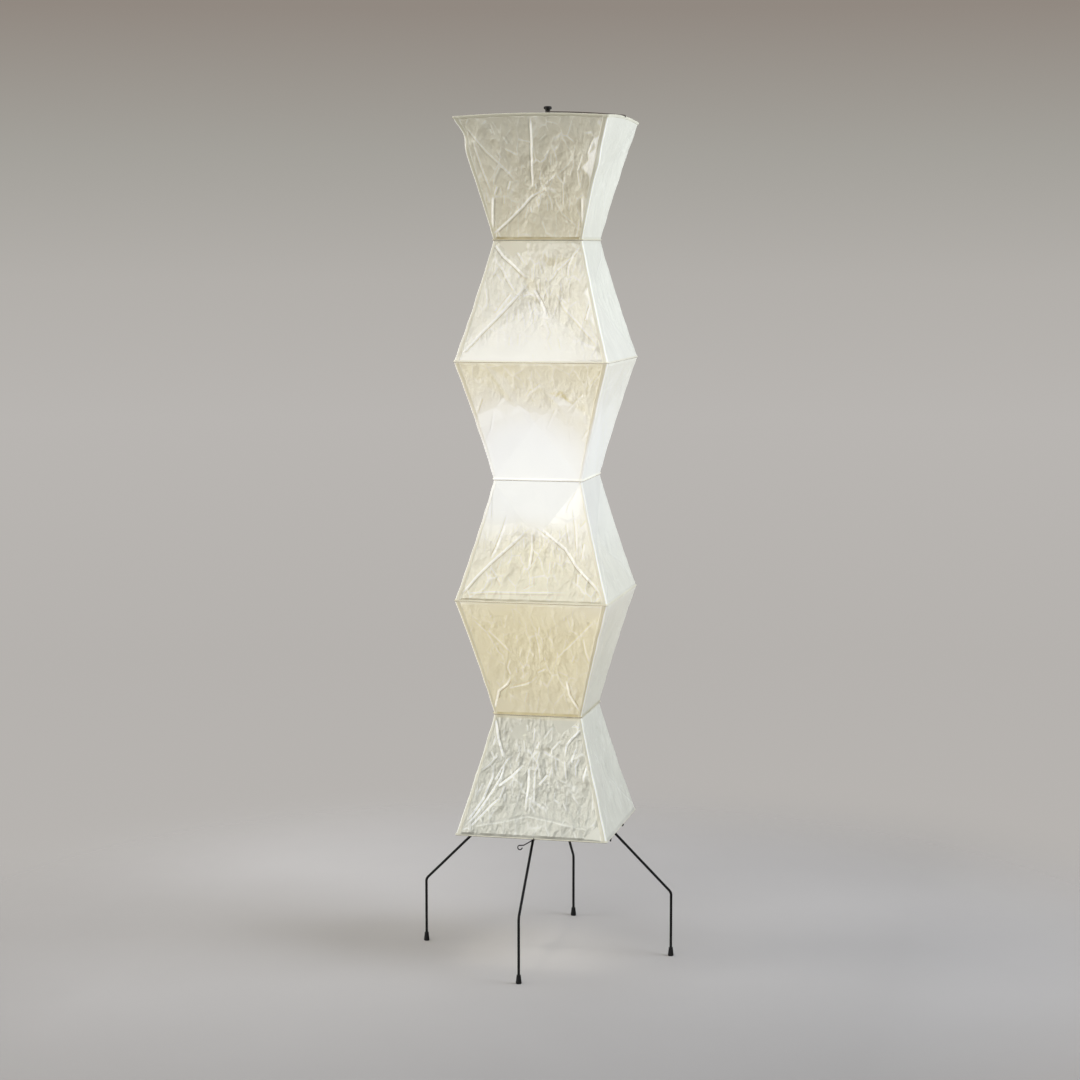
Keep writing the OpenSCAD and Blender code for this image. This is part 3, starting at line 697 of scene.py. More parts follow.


# %% [markdown]
# The front panels carry the folds that catch the eye, so these are listed one by one. Each
# line is a strength and then points, as shares across (-100 to 100) and up (0 to 100). The
# other panels get lines by chance: arms that run in from the corners, and strokes near the
# middle.

# %% Folds of the front panels
FRONT_FOLDS = {
    6: [(1.0, 0, 98, -2, 75, -5, 56, -5, 38), (0.9, -97, 4, -62, 14, -28, 26, -9, 35, 16, 41),
        (0.45, -90, 94, -69, 72, -44, 56, -25, 42), (0.5, -84, 83, -81, 56, -76, 36),
        (1.0, -76, 36, -84, 23, -94, 7), (1.0, 84, 35, 89, 23, 96, 8),
        (0.7, 88, 84, 83, 70, 93, 55), (0.35, 34, 36, 38, 29, 50, 21, 75, 13, 94, 5),
        (0.4, 50, 55, 48, 42, 52, 23), (0.6, -41, 48, -49, 39), (0.6, -64, 44, -74, 36),
        (0.35, -53, 60, -66, 50, -73, 42), (0.35, -14, 27, -26, 15), (0.4, 8, 45, 25, 37),
        (0.5, 75, 70, 70, 55, 78, 40), (0.3, 20, 85, 6, 78), (0.35, 64, 70, 52, 60, 36, 52),
        (0.4, 14, 38, -2, 31), (0.3, 30, 50, 22, 40)],
    5: [(1.0, -95, 98, -69, 87, -44, 79, -16, 68), (0.6, -69, 79, -53, 68, -34, 57),
        (0.9, -95, 3, -75, 23, -59, 35, -37, 51, -12, 67), (1.0, -6, 60, 9, 48, 20, 35),
        (0.6, -14, 50, -6, 38, -3, 27), (0.5, 34, 58, 47, 44, 66, 33, 94, 11),
        (0.5, 94, 96, 69, 86, 37, 75, 19, 63), (0.6, 75, 88, 62, 79, 58, 68),
        (0.6, -41, 56, -53, 46, -62, 36), (0.5, -86, 61, -80, 52, -77, 42),
        (0.5, -53, 95, -37, 88, -23, 80), (0.35, -19, 23, -17, 13), (0.4, -10, 78, -8, 66),
        (0.4, 2, 84, 10, 71), (0.35, 30, 60, 22, 53), (0.35, 15, 33, 22, 24, 18, 16),
        (0.9, 97, 52, 82, 36, 74, 33), (0.4, -28, 44, -24, 33), (0.4, 38, 20, 42, 10)],
    4: [(0.6, 13, 82, -3, 75, -11, 69), (0.6, 37, 77, 25, 68), (0.8, 36, 61, 25, 48, 20, 42),
        (0.6, 75, 74, 50, 57), (0.5, 70, 67, 62, 54, 56, 44), (0.8, -62, 59, -73, 44, -90, 32),
        (0.8, -77, 71, -94, 56), (0.8, 94, 44, 84, 34), (0.6, 97, 86, 94, 66),
        (0.4, 98, 96, 86, 84, 76, 74), (0.4, -40, 60, -46, 50), (0.4, 2, 54, -6, 46),
        (0.5, 12, 44, 32, 38, 40, 32), (0.4, 60, 44, 66, 33), (0.5, 80, 60, 84, 48)],
    3: [(0.8, -97, 88, -84, 65), (1.0, -53, 72, -56, 60, -61, 44, -67, 32),
        (0.9, -94, 4, -81, 19, -66, 31, -44, 44, -22, 56, -12, 62),
        (0.8, -9, 58, -6, 42, -7, 29, -13, 23), (1.0, -3, 63, 25, 54, 50, 44, 66, 29, 87, 15, 96, 5),
        (0.6, 72, 90, 72, 61, 68, 36), (0.6, 56, 65, 58, 48), (0.8, 88, 93, 66, 81, 56, 71),
        (0.5, 80, 61, 98, 69), (0.6, 84, 50, 74, 34), (0.5, -90, 6, -53, 8, -12, 8, 50, 9),
        (0.5, 66, 25, 62, 13), (0.4, -66, 29, -41, 13), (0.5, -46, 74, -38, 62),
        (0.4, 28, 70, 20, 60), (0.35, 2, 14, -14, 8), (0.4, 16, 76, 24, 66)],
    2: [(1.0, -96, 3, -75, 21, -56, 27, -45, 35), (0.6, -45, 35, -48, 42, -41, 50),
        (0.4, -84, 85, -69, 73, -59, 56, -45, 48), (0.5, -66, 75, -36, 54),
        (0.5, -56, 23, -22, 27, -3, 31), (0.45, 3, 76, 8, 61, 8, 47),
        (0.4, 88, 87, 69, 72, 53, 61, 37, 52, 33, 42), (0.5, 75, 71, 84, 58, 96, 47),
        (0.9, 56, 33, 66, 19, 94, 4), (0.5, 3, 38, 19, 42), (0.3, -19, 21, -28, 10),
        (0.3, -20, 60, -26, 50), (0.3, 2, 35, -12, 28), (0.3, 40, 40, 62, 36)],
    1: [(1.0, -95, 98, -75, 79, -59, 65, -53, 62), (0.9, -53, 61, -56, 48, -66, 35, -81, 15, -94, 4),
        (1.0, -59, 40, -37, 50, -19, 60), (0.6, -69, 67, -81, 58, -94, 52),
        (1.0, -11, 58, -9, 42, -11, 22), (0.7, 8, 62, 0, 54, 0, 42, 2, 23),
        (0.6, -5, 91, -5, 77), (0.8, 6, 79, 0, 72), (0.5, 34, 92, 12, 80),
        (0.9, 94, 91, 72, 83, 59, 77, 53, 67), (0.6, 50, 81, 31, 73, 28, 65),
        (0.8, 78, 75, 66, 65, 69, 61), (0.9, 94, 62, 84, 52, 81, 46), (0.7, 81, 67, 72, 60, 69, 50),
        (0.6, 37, 65, 37, 54), (0.6, 53, 65, 53, 46), (0.8, 22, 52, 6, 42), (0.5, 41, 48, 53, 46),
        (0.4, -88, 6, -47, 11, -6, 17, 37, 13, 88, 7), (0.7, -47, 42, -52, 29), (0.5, -59, 33, -59, 19),
        (0.5, 94, 42, 88, 23), (0.4, 75, 29, 62, 19), (0.6, -30, 70, -36, 60), (0.6, -80, 88, -84, 72),
        (0.5, 20, 70, 34, 66), (0.5, -26, 80, -20, 68), (0.5, 60, 36, 70, 28), (0.4, 14, 30, 24, 24),
        (0.9, -90, 10, -76, 30, -70, 48, -74, 62), (0.8, -84, 6, -60, 26, -46, 34),
        (0.7, -66, 44, -52, 62, -40, 68), (0.6, -84, 70, -72, 62), (0.6, -88, 34, -82, 44)],
}


def chance_folds(rng, count):
    lines = []
    for u, v in ((-96, 4), (96, 4), (96, 96), (-96, 96)):
        end = (rng.uniform(-14, 14), 50 + rng.uniform(-10, 10))
        line = [u, v]
        for part in (0.3, 0.62, 0.92):
            line += [u + (end[0] - u) * part + rng.uniform(-6, 6),
                     v + (end[1] - v) * part + rng.uniform(-4, 4)]
        lines.append((rng.uniform(0.4, 0.9), *line))
    for _ in range(count):
        u, v = rng.normal(0, 45), rng.normal(50, 22)
        way, run = rng.uniform(0, math.pi), rng.uniform(8, 26)
        lines.append((rng.uniform(0.3, 0.8), u, v, u + run * math.cos(way) * 0.5,
                      v + run * math.sin(way) * 0.7))
    return lines


print("hand-drawn folds:", sum(len(lines) for lines in FRONT_FOLDS.values()))

# %% [markdown]
# Every tier has its own character, so each has its own settings: how many loose points (count)
# and how high the facets stand (relief), how many tiny wrinkles, how worn the paper is and
# how evenly the wear is spread, and how deep its panels sink (dent). The lowest tier is
# crumpled all over, and the middle ones are smoother. The right-hand and rear panels are
# smoother than the front one, so each panel has a share of its tier's crumpling.
#
# In the upper tiers the paper beside the front right seam is crumpled and pushed out, and a
# band of painted highlight lies along it. A band is a place up the panel, a spread and a
# reach from the seam. A bulge is a place across, a place up and a rise.

# %% How crumpled each tier is
CRUMPLE = {
    1: dict(count=60, relief=0.0034, tiny=60, worn=1.0, even=0.6, dent=0.008),
    2: dict(count=24, relief=0.0022, tiny=26, worn=0.75, even=0.4, dent=0.013),
    3: dict(count=30, relief=0.0026, tiny=40, worn=0.9, even=0.45, dent=0.020),
    4: dict(count=28, relief=0.0026, tiny=40, worn=1.0, even=0.5, dent=0.013),
    5: dict(count=30, relief=0.0028, tiny=36, worn=0.95, even=0.45, dent=0.022),
    6: dict(count=28, relief=0.0026, tiny=30, worn=0.95, even=0.5, dent=0.015),
}
PANEL_SHARE = (0.35, 0.7, 0.85, 1.0)
BAND = {6: (0.66, 0.20, 0.030), 5: (0.45, 0.25, 0.019), 4: (0.75, 0.18, 0.014)}
BULGES = {6: ((0.85, 0.65, 0.009), (0.91, 0.30, 0.003)),
          5: ((0.84, 0.45, 0.005), (0.80, 0.80, 0.003))}
NO_BAND = (0.5, 1.0, 0.0)
BAND_HIGHLIGHT, BAND_EDGE = 0.8, 0.005
FRONT = 3


# A band of painted highlight beside the front right seam.
def seam_band(tier, side, u, v, widths):
    place, spread, reach = BAND.get(tier, NO_BAND) if side == FRONT else NO_BAND
    ragged = 1 + 0.25 * np.sin(23 * v + 1) + 0.15 * np.sin(57 * v)
    to_seam = (1 - u) * (widths[0] + (widths[1] - widths[0]) * v)
    wide = reach * ragged * np.exp(-((v - place) / spread) ** 2)
    return BAND_HIGHLIGHT * np.clip((wide - to_seam) / BAND_EDGE, 0, 1)


def bulges(tier, side, u, v):
    height = np.zeros_like(u)
    for across, along, rise in BULGES.get(tier, ()) if side == FRONT else ():
        near = np.clip((u - 0.4) / (across - 0.4), 0, 1) ** 2
        slant = np.minimum(near, (1 - u) / (1 - across))
        height += rise * slant * np.exp(-((v - along) / 0.16) ** 2)
    return height


# %% [markdown]
# All of it comes together for one panel: its height over the smooth sheet, and the masks that
# the material reads. The order of the random draws is fixed, so the paper is the same each
# time.

# %% Wrinkle one panel
FOLD_RISE, STEEP_RUN = 0.0011, 0.0045


def wrinkle(rng, style, calm, side, tier, u, v, widths, tall):
    x, y = u * (widths[0] + (widths[1] - widths[0]) * v), v * tall
    height = facets(rng, x, y, widths, tall, style["count"], style["relief"] * calm)
    lines = FRONT_FOLDS[tier] if side == FRONT else chance_folds(rng, int(16 * calm))
    tiny = int(style["tiny"] * calm)
    for a, b, way, run in zip(rng.normal(0, 42, tiny), rng.normal(50, 22, tiny),
                              rng.uniform(0.6, 2.5, tiny), rng.uniform(4, 14, tiny)):
        lines = lines + [(rng.uniform(0.15, 0.5), a, b, a + run * math.cos(way) * 0.6,
                          b + run * math.sin(way))]
    drawn = []
    for strength, *numbers in lines:
        shares = np.array(numbers, float).reshape(-1, 2) / 100
        reach = widths[0] + (widths[1] - widths[0]) * shares[:, 1]
        line = np.stack([shares[:, 0] * reach, shares[:, 1] * tall], axis=1)
        drawn.append((strength * calm, line, rng.choice((1, 1, -1))))
    fold, gap = nearest_fold(x, y, drawn)
    steep, gentle = np.clip(1 - gap / STEEP_RUN, 0, 1), np.clip(1 + gap / REACH, 0, 1)
    height += FOLD_RISE * fold * steep * gentle
    height += bulges(tier, side, u, v)
    middle = np.exp(-(u / 0.55) ** 2 - ((v - 0.5) / 0.28) ** 2)
    arms = 0.6 * np.exp(-((np.abs(u) - np.abs(2 * v - 1)) / 0.28) ** 2)
    worn = calm * style["worn"] * (
        style["even"] + (1 - style["even"]) * np.maximum(middle, arms))
    edge = seam_band(tier, side, u, v, widths)
    return height, {"fold": fold, "gap": gap, "worn": worn, "edge": edge}


# %% [markdown]
# The corner seams aren't quite straight either: glue and tension move them by half a
# millimetre here and there. A few places are pulled in or pushed out by more, such as the
# top tier's front left corner, just under the rib. Each of these is a depth and a place.

# %% Pull the seams in
PINCH = {(6, 2): (0.008, 0.86), (6, 3): (-0.004, 0.62), (1, 3): (-0.002, 0.35)}
PINCH_RUN, CORNER_RUN = 0.09, 0.022
WAVE = 0.00018


def corner_pull(tier, corner, up):
    rng = np.random.default_rng(1000 * tier + corner)
    pull = sum(size * np.sin((2 * order + 5) * math.pi * up + start)
               for order, (size, start) in enumerate(rng.normal(0, 1, (4, 2)) * (WAVE, 3)))
    depth, place = PINCH.get((tier, corner), (0.0, 0.5))
    pull = pull + depth * np.exp(-((up - place) / PINCH_RUN) ** 2)
    return pull * np.clip(np.minimum(up, 1 - up) / 0.06, 0, 1)


def outward(side):
    return np.array([math.cos(side * math.pi / 2), math.sin(side * math.pi / 2), 0.0])


def pull_corners(places, walk, up, tier):
    (_, h0), (_, h1) = ribs[tier - 1], ribs[tier]
    half = h0 + (h1 - h0) * up
    for corner in range(4):
        apart = np.abs(walk - (corner + 1))
        apart = np.minimum(apart, 4 - apart) * 2 * half
        close = np.exp(-(apart / CORNER_RUN) ** 2) * corner_pull(tier, corner, up)
        places -= close[:, None] * (outward(corner) + outward(corner + 1))


# %% [markdown]
# A tier that has been grown is crumpled next. Its points are sorted into rows and columns by
# the shares stored on them, and each panel is a block of them. The paper stays flat along its
# glued borders, and it is calmer near the bulb, where the picture shows no relief.

# %% Crumple a tier
GLUED_SIDE, GLUED_RIB = 0.010, 0.006
CALM_FROM, CALM_RUN, CALM_BY = 0.215, 0.07, 0.75


def read(mesh, name):
    values = np.zeros(len(mesh.vertices), np.float32)
    if name in mesh.attributes:
        mesh.attributes[name].data.foreach_get("value", values)
    return values.astype(float)


def crumple(piece, tier):
    mesh, style = piece.data, CRUMPLE[tier]
    (z0, h0), (z1, h1) = ribs[tier - 1], ribs[tier]
    walk, up, inner = read(mesh, "walk"), read(mesh, "up"), read(mesh, "inner")
    places = np.zeros(len(mesh.vertices) * 3)
    mesh.vertices.foreach_get("co", places)
    places = places.reshape(-1, 3)
    pull_corners(places, walk, up, tier)
    front = np.flatnonzero(inner < 0.5)
    column = np.rint(walk[front] * COLUMNS).astype(int)
    row = np.rint(up[front] * ROWS).astype(int)
    grid = np.zeros((4 * COLUMNS + 1, ROWS + 1), int)
    grid[column, row] = front
    masks = {name: np.zeros(len(places)) for name in ("fold", "gap", "worn", "edge")}
    u, v = np.meshgrid(np.linspace(-1, 1, COLUMNS + 1), np.linspace(0, 1, ROWS + 1),
                       indexing="ij")
    half, tall = h0 + (h1 - h0) * v, z1 - z0
    flat = np.clip(np.minimum((1 - np.abs(u)) * half / GLUED_SIDE,
                              np.minimum(v, 1 - v) * tall / GLUED_RIB), 0, 1)
    for side in range(4):
        rng = np.random.default_rng(100 * tier + side)
        block = grid[side * COLUMNS:(side + 1) * COLUMNS + 1]
        off_bulb = np.linalg.norm(places[block] - np.array(BULB), axis=-1)
        smooth = 1 - CALM_BY * np.clip((CALM_FROM - off_bulb) / CALM_RUN, 0, 1)
        height, marks = wrinkle(rng, style, PANEL_SHARE[side], side, tier, u, v,
                                (h0, h1), tall)
        places[block] += (height * flat * smooth)[..., None] * outward(side)
        for name, values in marks.items():
            masks[name][block] = values if name in ("gap", "edge") else values * flat
    mesh.vertices.foreach_set("co", places.ravel())
    for name, values in masks.items():
        mesh.attributes.new(name, "FLOAT", "POINT").data.foreach_set("value", values)
    mesh.update()
    return places[grid]


# %% [markdown]
# The paper hides the plain CAD sheet of its tier. It hangs from the rib above, and when the
# shade is folded for packing, the tier below it is lifted: so each one rides with its upper
# rib. It stops a little clear of both ribs' centres. Afterwards the doubled points at the
# closing seam and along the ribs are welded.

# %% Grow the six tiers
FOLD, SHEET = 0.259, 0.00025
CLEAR, SPARE = 0.0012, 0.0006
WELD = 0.00001


def weld(mesh):
    work = bmesh.new()
    work.from_mesh(mesh)
    bmesh.ops.remove_doubles(work, verts=work.verts, dist=WELD)
    work.to_mesh(mesh)
    work.free()


def thicken(piece, offset):
    wall = piece.modifiers.new("sheet", "SOLIDIFY")
    wall.thickness = SHEET
    wall.offset = offset


def hang(piece, tier):
    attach(piece, body_of(frame["nodes"][f"rib_{tier}"])[0])
    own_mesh(piece)


sheets = {}
for tier in range(1, TIERS + 1):
    (z0, h0), (z1, h1) = ribs[tier - 1], ribs[tier]
    piece = grown(f"tier_{tier}", tier_tree, {
        "Lower Half": h0, "Upper Half": h1, "Lower Height": z0 + CLEAR,
        "Upper Height": z1 - CLEAR, "Dent": CRUMPLE[tier]["dent"],
        "Rise": RISE if tier == TIERS else 0.0, "Seed": tier, "Material": paper})
    sheets[tier] = crumple(piece, tier)
    weld(piece.data)
    piece.data.set_sharp_from_angle(angle=math.radians(75))
    hang(piece, tier)
    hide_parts(f"paper_{tier}")
    print(piece.name, "has", len(piece.data.polygons), "faces")

# %% [markdown]
# ## Seams
# The front and back panels are a little wider than the other two: their edges are folded
# round the corners and glued down. The lap shows as a strip inside each front edge, tan where
# two layers hold back the bulb's light, with a painted highlight along the corner itself.
# Each strip is a copy of the sheet's own points near the corner, moved a tenth of a
# millimetre out, so it follows every wave of the seam.

# %% Corner laps
LAP, LAP_OUT = 6, 0.0001
# Painted highlight along each corner: how much each column of a lap strip is brightened.
EDGE_HIGHLIGHT = {-1: 0.5, 0: 0.9, 1: 0.35, LAP: 0.5}


def corner_laps(tier):
    sheet = sheets[tier]
    places, faces, edge = [], [], []
    for corner in range(4):
        middle = (corner + 1) * COLUMNS
        way = 1 if corner % 2 == 0 else -1
        steps = range(-1, LAP + 1) if way == 1 else range(-LAP, 2)
        columns = [(middle + k) % (4 * COLUMNS) for k in steps]
        strip = sheet[columns]
        normal = np.cross(np.gradient(strip, axis=0), np.gradient(strip, axis=1))
        normal /= np.linalg.norm(normal, axis=2, keepdims=True)
        first, rows = len(places), ROWS + 1
        places.extend((strip + normal * LAP_OUT).reshape(-1, 3))
        for k in steps:
            edge += [EDGE_HIGHLIGHT.get(k * way, 0.0)] * rows
        for c in range(len(columns) - 1):
            for r in range(ROWS):
                a = first + c * rows + r
                faces.append((a, a + rows, a + rows + 1, a + 1))
    mesh = bpy.data.meshes.new(f"seams_{tier}")
    mesh.from_pydata([tuple(p) for p in places], [], faces)
    mesh.shade_smooth()
    mesh.materials.append(lapped_paper)
    mesh.attributes.new("edge", "FLOAT", "POINT").data.foreach_set("value", edge)
    return put(mesh.name, mesh)


for tier in range(1, TIERS + 1):
    piece = corner_laps(tier)
    thicken(piece, 1.0)
    hang(piece, tier)
print("seams:", TIERS, "pieces of four strips")

# %% [markdown]
# ## Hems
# At each rib the paper's edge is wrapped over the wire and glued down, which shows as a
# bright band along the rib with the thin dark line of the wire under it. The hem follows the
# rib all the way round, so it is made by Geometry Nodes from the same flat grid: one way
# runs round the rounded square, the other runs round the wire and then along the flap.

# %% The tree for a hem
SLEEVE = 0.00163
STRAIGHT, WRAP = 0.86, 0.7
HEM_SIZES = {
    "Half Width": 0.174, "Height": 0.3, "Bend": 0.0045, "Sleeve": SLEEVE,
    "From Angle": -50.0, "To Angle": 15.0, "Flap Out": 0.0, "Flap Up": 0.0045, "Rise": 0.0,
    "Steps Round": 160, "Steps Across": 12}
hem_tree, size = shape_tree("rib_hem", HEM_SIZES)
t = hem_tree
strip = flat_grid(t, size["Steps Round"], size["Steps Across"])
_, over, panel, across = panel_shares(t)
wrapped = calc(t, "MINIMUM", calc(t, "DIVIDE", over, WRAP), 1.0)
flapped = calc(t, "MAXIMUM", calc(t, "DIVIDE", calc(t, "SUBTRACT", over, WRAP), 1 - WRAP), 0.0)
degrees = calc(t, "MULTIPLY_ADD", calc(t, "SUBTRACT", size["To Angle"], size["From Angle"]),
               wrapped, size["From Angle"])
angle = calc(t, "MULTIPLY", degrees, math.pi / 180)
offset = calc(t, "MULTIPLY_ADD", size["Flap Out"], flapped,
              calc(t, "MULTIPLY", size["Sleeve"], calc(t, "COSINE", angle)))
lift = calc(t, "MULTIPLY_ADD", size["Flap Up"], flapped,
            calc(t, "MULTIPLY", size["Sleeve"], calc(t, "SINE", angle)))

# %% [markdown]
# Round a rib, each side is straight for most of its length and then bends by an eighth of a
# turn at either end. Two clamps switch from the one to the other without any test.

# %% Straight sides and round corners
reach = calc(t, "ABSOLUTE", across)
straight = calc(t, "MINIMUM", calc(t, "DIVIDE", reach, STRAIGHT), 1.0)
bent = calc(t, "MULTIPLY", math.pi / 4, calc(t, "MAXIMUM", calc(
    t, "DIVIDE", calc(t, "SUBTRACT", reach, STRAIGHT), 1 - STRAIGHT), 0.0))
core = calc(t, "SUBTRACT", size["Half Width"], size["Bend"])
arm = calc(t, "ADD", size["Bend"], offset)
far_along = calc(t, "MULTIPLY_ADD", core, straight, calc(t, "MULTIPLY", arm,
                                                         calc(t, "SINE", bent)))
far_out = calc(t, "MULTIPLY_ADD", arm, calc(t, "COSINE", bent), core)
along = calc(t, "MULTIPLY", far_along, calc(t, "SIGN", across))
level = calc(t, "MINIMUM", calc(t, "DIVIDE", far_along, size["Half Width"]), 1.0)
arch = calc(t, "MULTIPLY", size["Rise"], calc(
    t, "SUBTRACT", 1.0, calc(t, "MULTIPLY", level, level)))
height = calc(t, "ADD", calc(t, "ADD", size["Height"], lift), arch)
moved = close_round(t, strip, panel, far_out, along, height)
closed = add(t, "GeometryNodeMergeByDistance", {"Geometry": moved, "Distance": WELD})
end_tree(t, closed.outputs[0], size["Material"])
print("hem tree:", len(t.nodes), "nodes")

# %% [markdown]
# The flap lies on the panel above its rib, and on the top rib it hangs down on the panel
# below. Its lean is that panel's own slope. A hem is an angle to start from, an angle to stop
# at and a flap. Those of the waists are narrow.

# %% Wrap the seven ribs
TOP_HEM, WAIST_HEM = (110.0, -10.0, -0.0045), (-12.0, 12.0, 0.0024)
WIDE_HEM, PRESSED = (-20.0, 10.0, 0.0032), 0.1
FLAP_LIFT, FLAP_RUN = 0.0004, 0.006
for level, (z, half) in enumerate(ribs):
    top = level == TIERS
    other = ribs[level - 1] if top else ribs[level + 1]
    slope = (other[1] - half) / abs(other[0] - z)
    start, stop, flap = TOP_HEM if top else WAIST_HEM if level % 2 else WIDE_HEM
    lie = STAND_OFF + FLAP_LIFT + slope * FLAP_RUN - SLEEVE * math.cos(math.radians(stop))
    hem = grown(f"hem_{level}", hem_tree, {
        "Half Width": half, "Height": z, "From Angle": start, "To Angle": stop,
        "Flap Out": lie, "Flap Up": flap, "Rise": RISE if top else 0.0,
        "Material": lapped_paper})
    thicken(hem, 0.0)
    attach(hem, body_of(frame["nodes"][f"rib_{level}"])[0])
    if not top:
        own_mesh(hem)
print("hems:", len(ribs))

# %% [markdown]
# Each tier was cut flat before it was glued: four panels in a row, each as wide as its ribs
# at the ends and as tall as its slope. That says how much paper a tier takes.

# %% Say how each sheet was cut
for tier in range(1, TIERS + 1):
    (z0, h0), (z1, h1) = ribs[tier - 1], ribs[tier]
    slant = math.hypot(z1 - z0, h1 - h0)
    long, area = 8 * max(h0, h1), 4 * (h0 + h1) * slant
    print(f"tier_{tier}: {long:.3f} x {slant:.3f} m, {area:.4f} m2")

# %% [markdown]
# ## Finishes for the wire, rod and holder
# The stand's rod is sprayed black. Sprayed steel is never quite even: the film is slightly
# dimpled, like orange peel, and its gloss varies from place to place. One group gives that
# to every smooth hard finish here, with its own scale and strength.

# %% Shader group: uneven film
film, film_in = open_group(
    "uneven_film", {"Scale": 900.0, "Gloss": 0.4, "Spread": 0.1, "Dust": 0.04},
    ("Roughness", "Height", "Dust Mask"))
where = object_place(film)
patch = noise(film, where, 35.0, 4.0)[0]
upward = split(film, add(film, "ShaderNodeNewGeometry").outputs["Normal"])[2]
settled = calc(film, "MULTIPLY", calc(film, "MAXIMUM", upward, 0.0), patch)
close_group(film, {
    "Roughness": calc(film, "MULTIPLY_ADD", calc(film, "SUBTRACT", patch, 0.5),
                      film_in["Spread"], film_in["Gloss"]),
    "Height": noise(film, where, film_in["Scale"])[0],
    "Dust Mask": calc(film, "MULTIPLY", settled, film_in["Dust"])})

# %% [markdown]
# A finish is then one line: a colour, how glossy it is and how deep its dimples are. A little
# pale dust settles on what faces up, which keeps black paint from looking like a hole.

# %% Hard finishes
DUST = (0.42, 0.40, 0.37, 1)


def hard_finish(name, colour, gloss, scale=900.0, depth=0.00004, dust=0.05, metal=0.0,
                coat=0.0, mirror=0.5):
    material, tree, shader = shiny(name, Metallic=metal)
    shader.inputs["Specular IOR Level"].default_value = mirror
    shader.inputs["Coat Weight"].default_value = coat
    shader.inputs["Coat Roughness"].default_value = 0.15
    skin = add(tree, "ShaderNodeGroup",
               {"Scale": scale, "Gloss": gloss, "Spread": 0.16, "Dust": dust},
               node_tree=film)
    fill(tree, shader.inputs["Base Color"],
         mix(tree, skin.outputs["Dust Mask"], (*colour, 1), DUST))
    fill(tree, shader.inputs["Roughness"], skin.outputs["Roughness"])
    bump = add(tree, "ShaderNodeBump", {"Strength": 0.5, "Distance": depth,
                                        "Height": skin.outputs["Height"]})
    fill(tree, shader.inputs["Normal"], bump.outputs[0])
    return material


FINISHES = {
    "black_steel": hard_finish("black_rod", (0.003, 0.003, 0.0033), 0.46, dust=0.008, mirror=0.18),
    "black_rubber": hard_finish("foot_rubber", (0.008, 0.008, 0.008), 0.72, scale=1500.0,
                                depth=0.00008, dust=0.03, mirror=0.2),
    "zinc_steel": hard_finish("plated_steel", (0.55, 0.55, 0.56), 0.34, metal=1.0, dust=0.03),
    "spring_wire": hard_finish("bow_spring", (0.055, 0.040, 0.032), 0.42, metal=0.3),
    "knob_black": hard_finish("knob_plastic", (0.004, 0.004, 0.004), 0.45, scale=1800.0, dust=0.01,
                              mirror=0.2),
    "rib_wire": hard_finish("brown_rib", (0.16, 0.105, 0.065), 0.48),
    "holder_plastic": hard_finish("holder_plastic", (0.80, 0.78, 0.72), 0.35, dust=0.1),
    "holder_ceramic": hard_finish("contact_ceramic", (0.74, 0.71, 0.64), 0.55, scale=2500.0),
    "brass": hard_finish("spun_brass", (0.70, 0.49, 0.20), 0.30, metal=1.0),
    "bulb_plastic": hard_finish("bulb_collar", (0.84, 0.83, 0.79), 0.40),
    "board_metal": hard_finish("lamp_board", (0.74, 0.75, 0.76), 0.5, metal=1.0),
    "cap_metal": hard_finish("cap_nickel", (0.66, 0.64, 0.59), 0.28, metal=1.0),
    "black_glass": hard_finish("black_glass", (0.02, 0.018, 0.016), 0.12, coat=1.0),
}

# %% [markdown]
# The globe is opal glass with a lamp behind it. It is the one thing in the scene that really
# shines, and it lights the inside of the shade. Its middle is brighter than its rim, which
# Layer Weight gives: that node works with the shader from any side.

# %% The lit globe
globe, tree, shader = shiny("opal_globe", Roughness=0.3)
shader.inputs["Base Color"].default_value = (0.9, 0.88, 0.82, 1)
rim = add(tree, "ShaderNodeLayerWeight", {0: 0.35}).outputs["Facing"]
soft = noise(tree, object_place(tree), 40.0)[0]
tint = mix(tree, rim, (1.0, 0.93, 0.80, 1), (1.0, 0.86, 0.66, 1))
fill(tree, shader.inputs["Emission Color"], tint)
shader.inputs["Emission Strength"].default_value = 4.0
fill(tree, shader.inputs["Roughness"], window(tree, soft, 0.0, 1.0, 0.25, 0.4))
FINISHES["opal_globe"] = globe

# %% [markdown]
# The record says which finish each rigid part has, so the parts are dressed from it and none
# can be forgotten. Paper nodes are hidden behind the tiers by now.

# %% Dress the CAD parts
slots = {part["node"]: part["material_slot"] for part in frame["record"]["subparts"]}
dressed = 0
for name, node in frame["nodes"].items():
    finish = FINISHES.get(slots.get(name))
    if finish is None:
        continue
    for holder in node.material_slots:
        holder.material = finish
    dressed += 1
print("dressed", dressed, "of", len(frame["nodes"]), "nodes")

# %% [markdown]
# ## The room
# The lamp stands on a pale floor that runs up into a pale wall without an edge. The floor is
# a disc that fades out, and the world behind it holds the wall's painted light and shade as a
# soft gradient by height, darker towards the bottom and much darker towards the top. Light
# Path lets the camera, mirrors and glass see that gradient, while everything else is lit by
# an even grey.

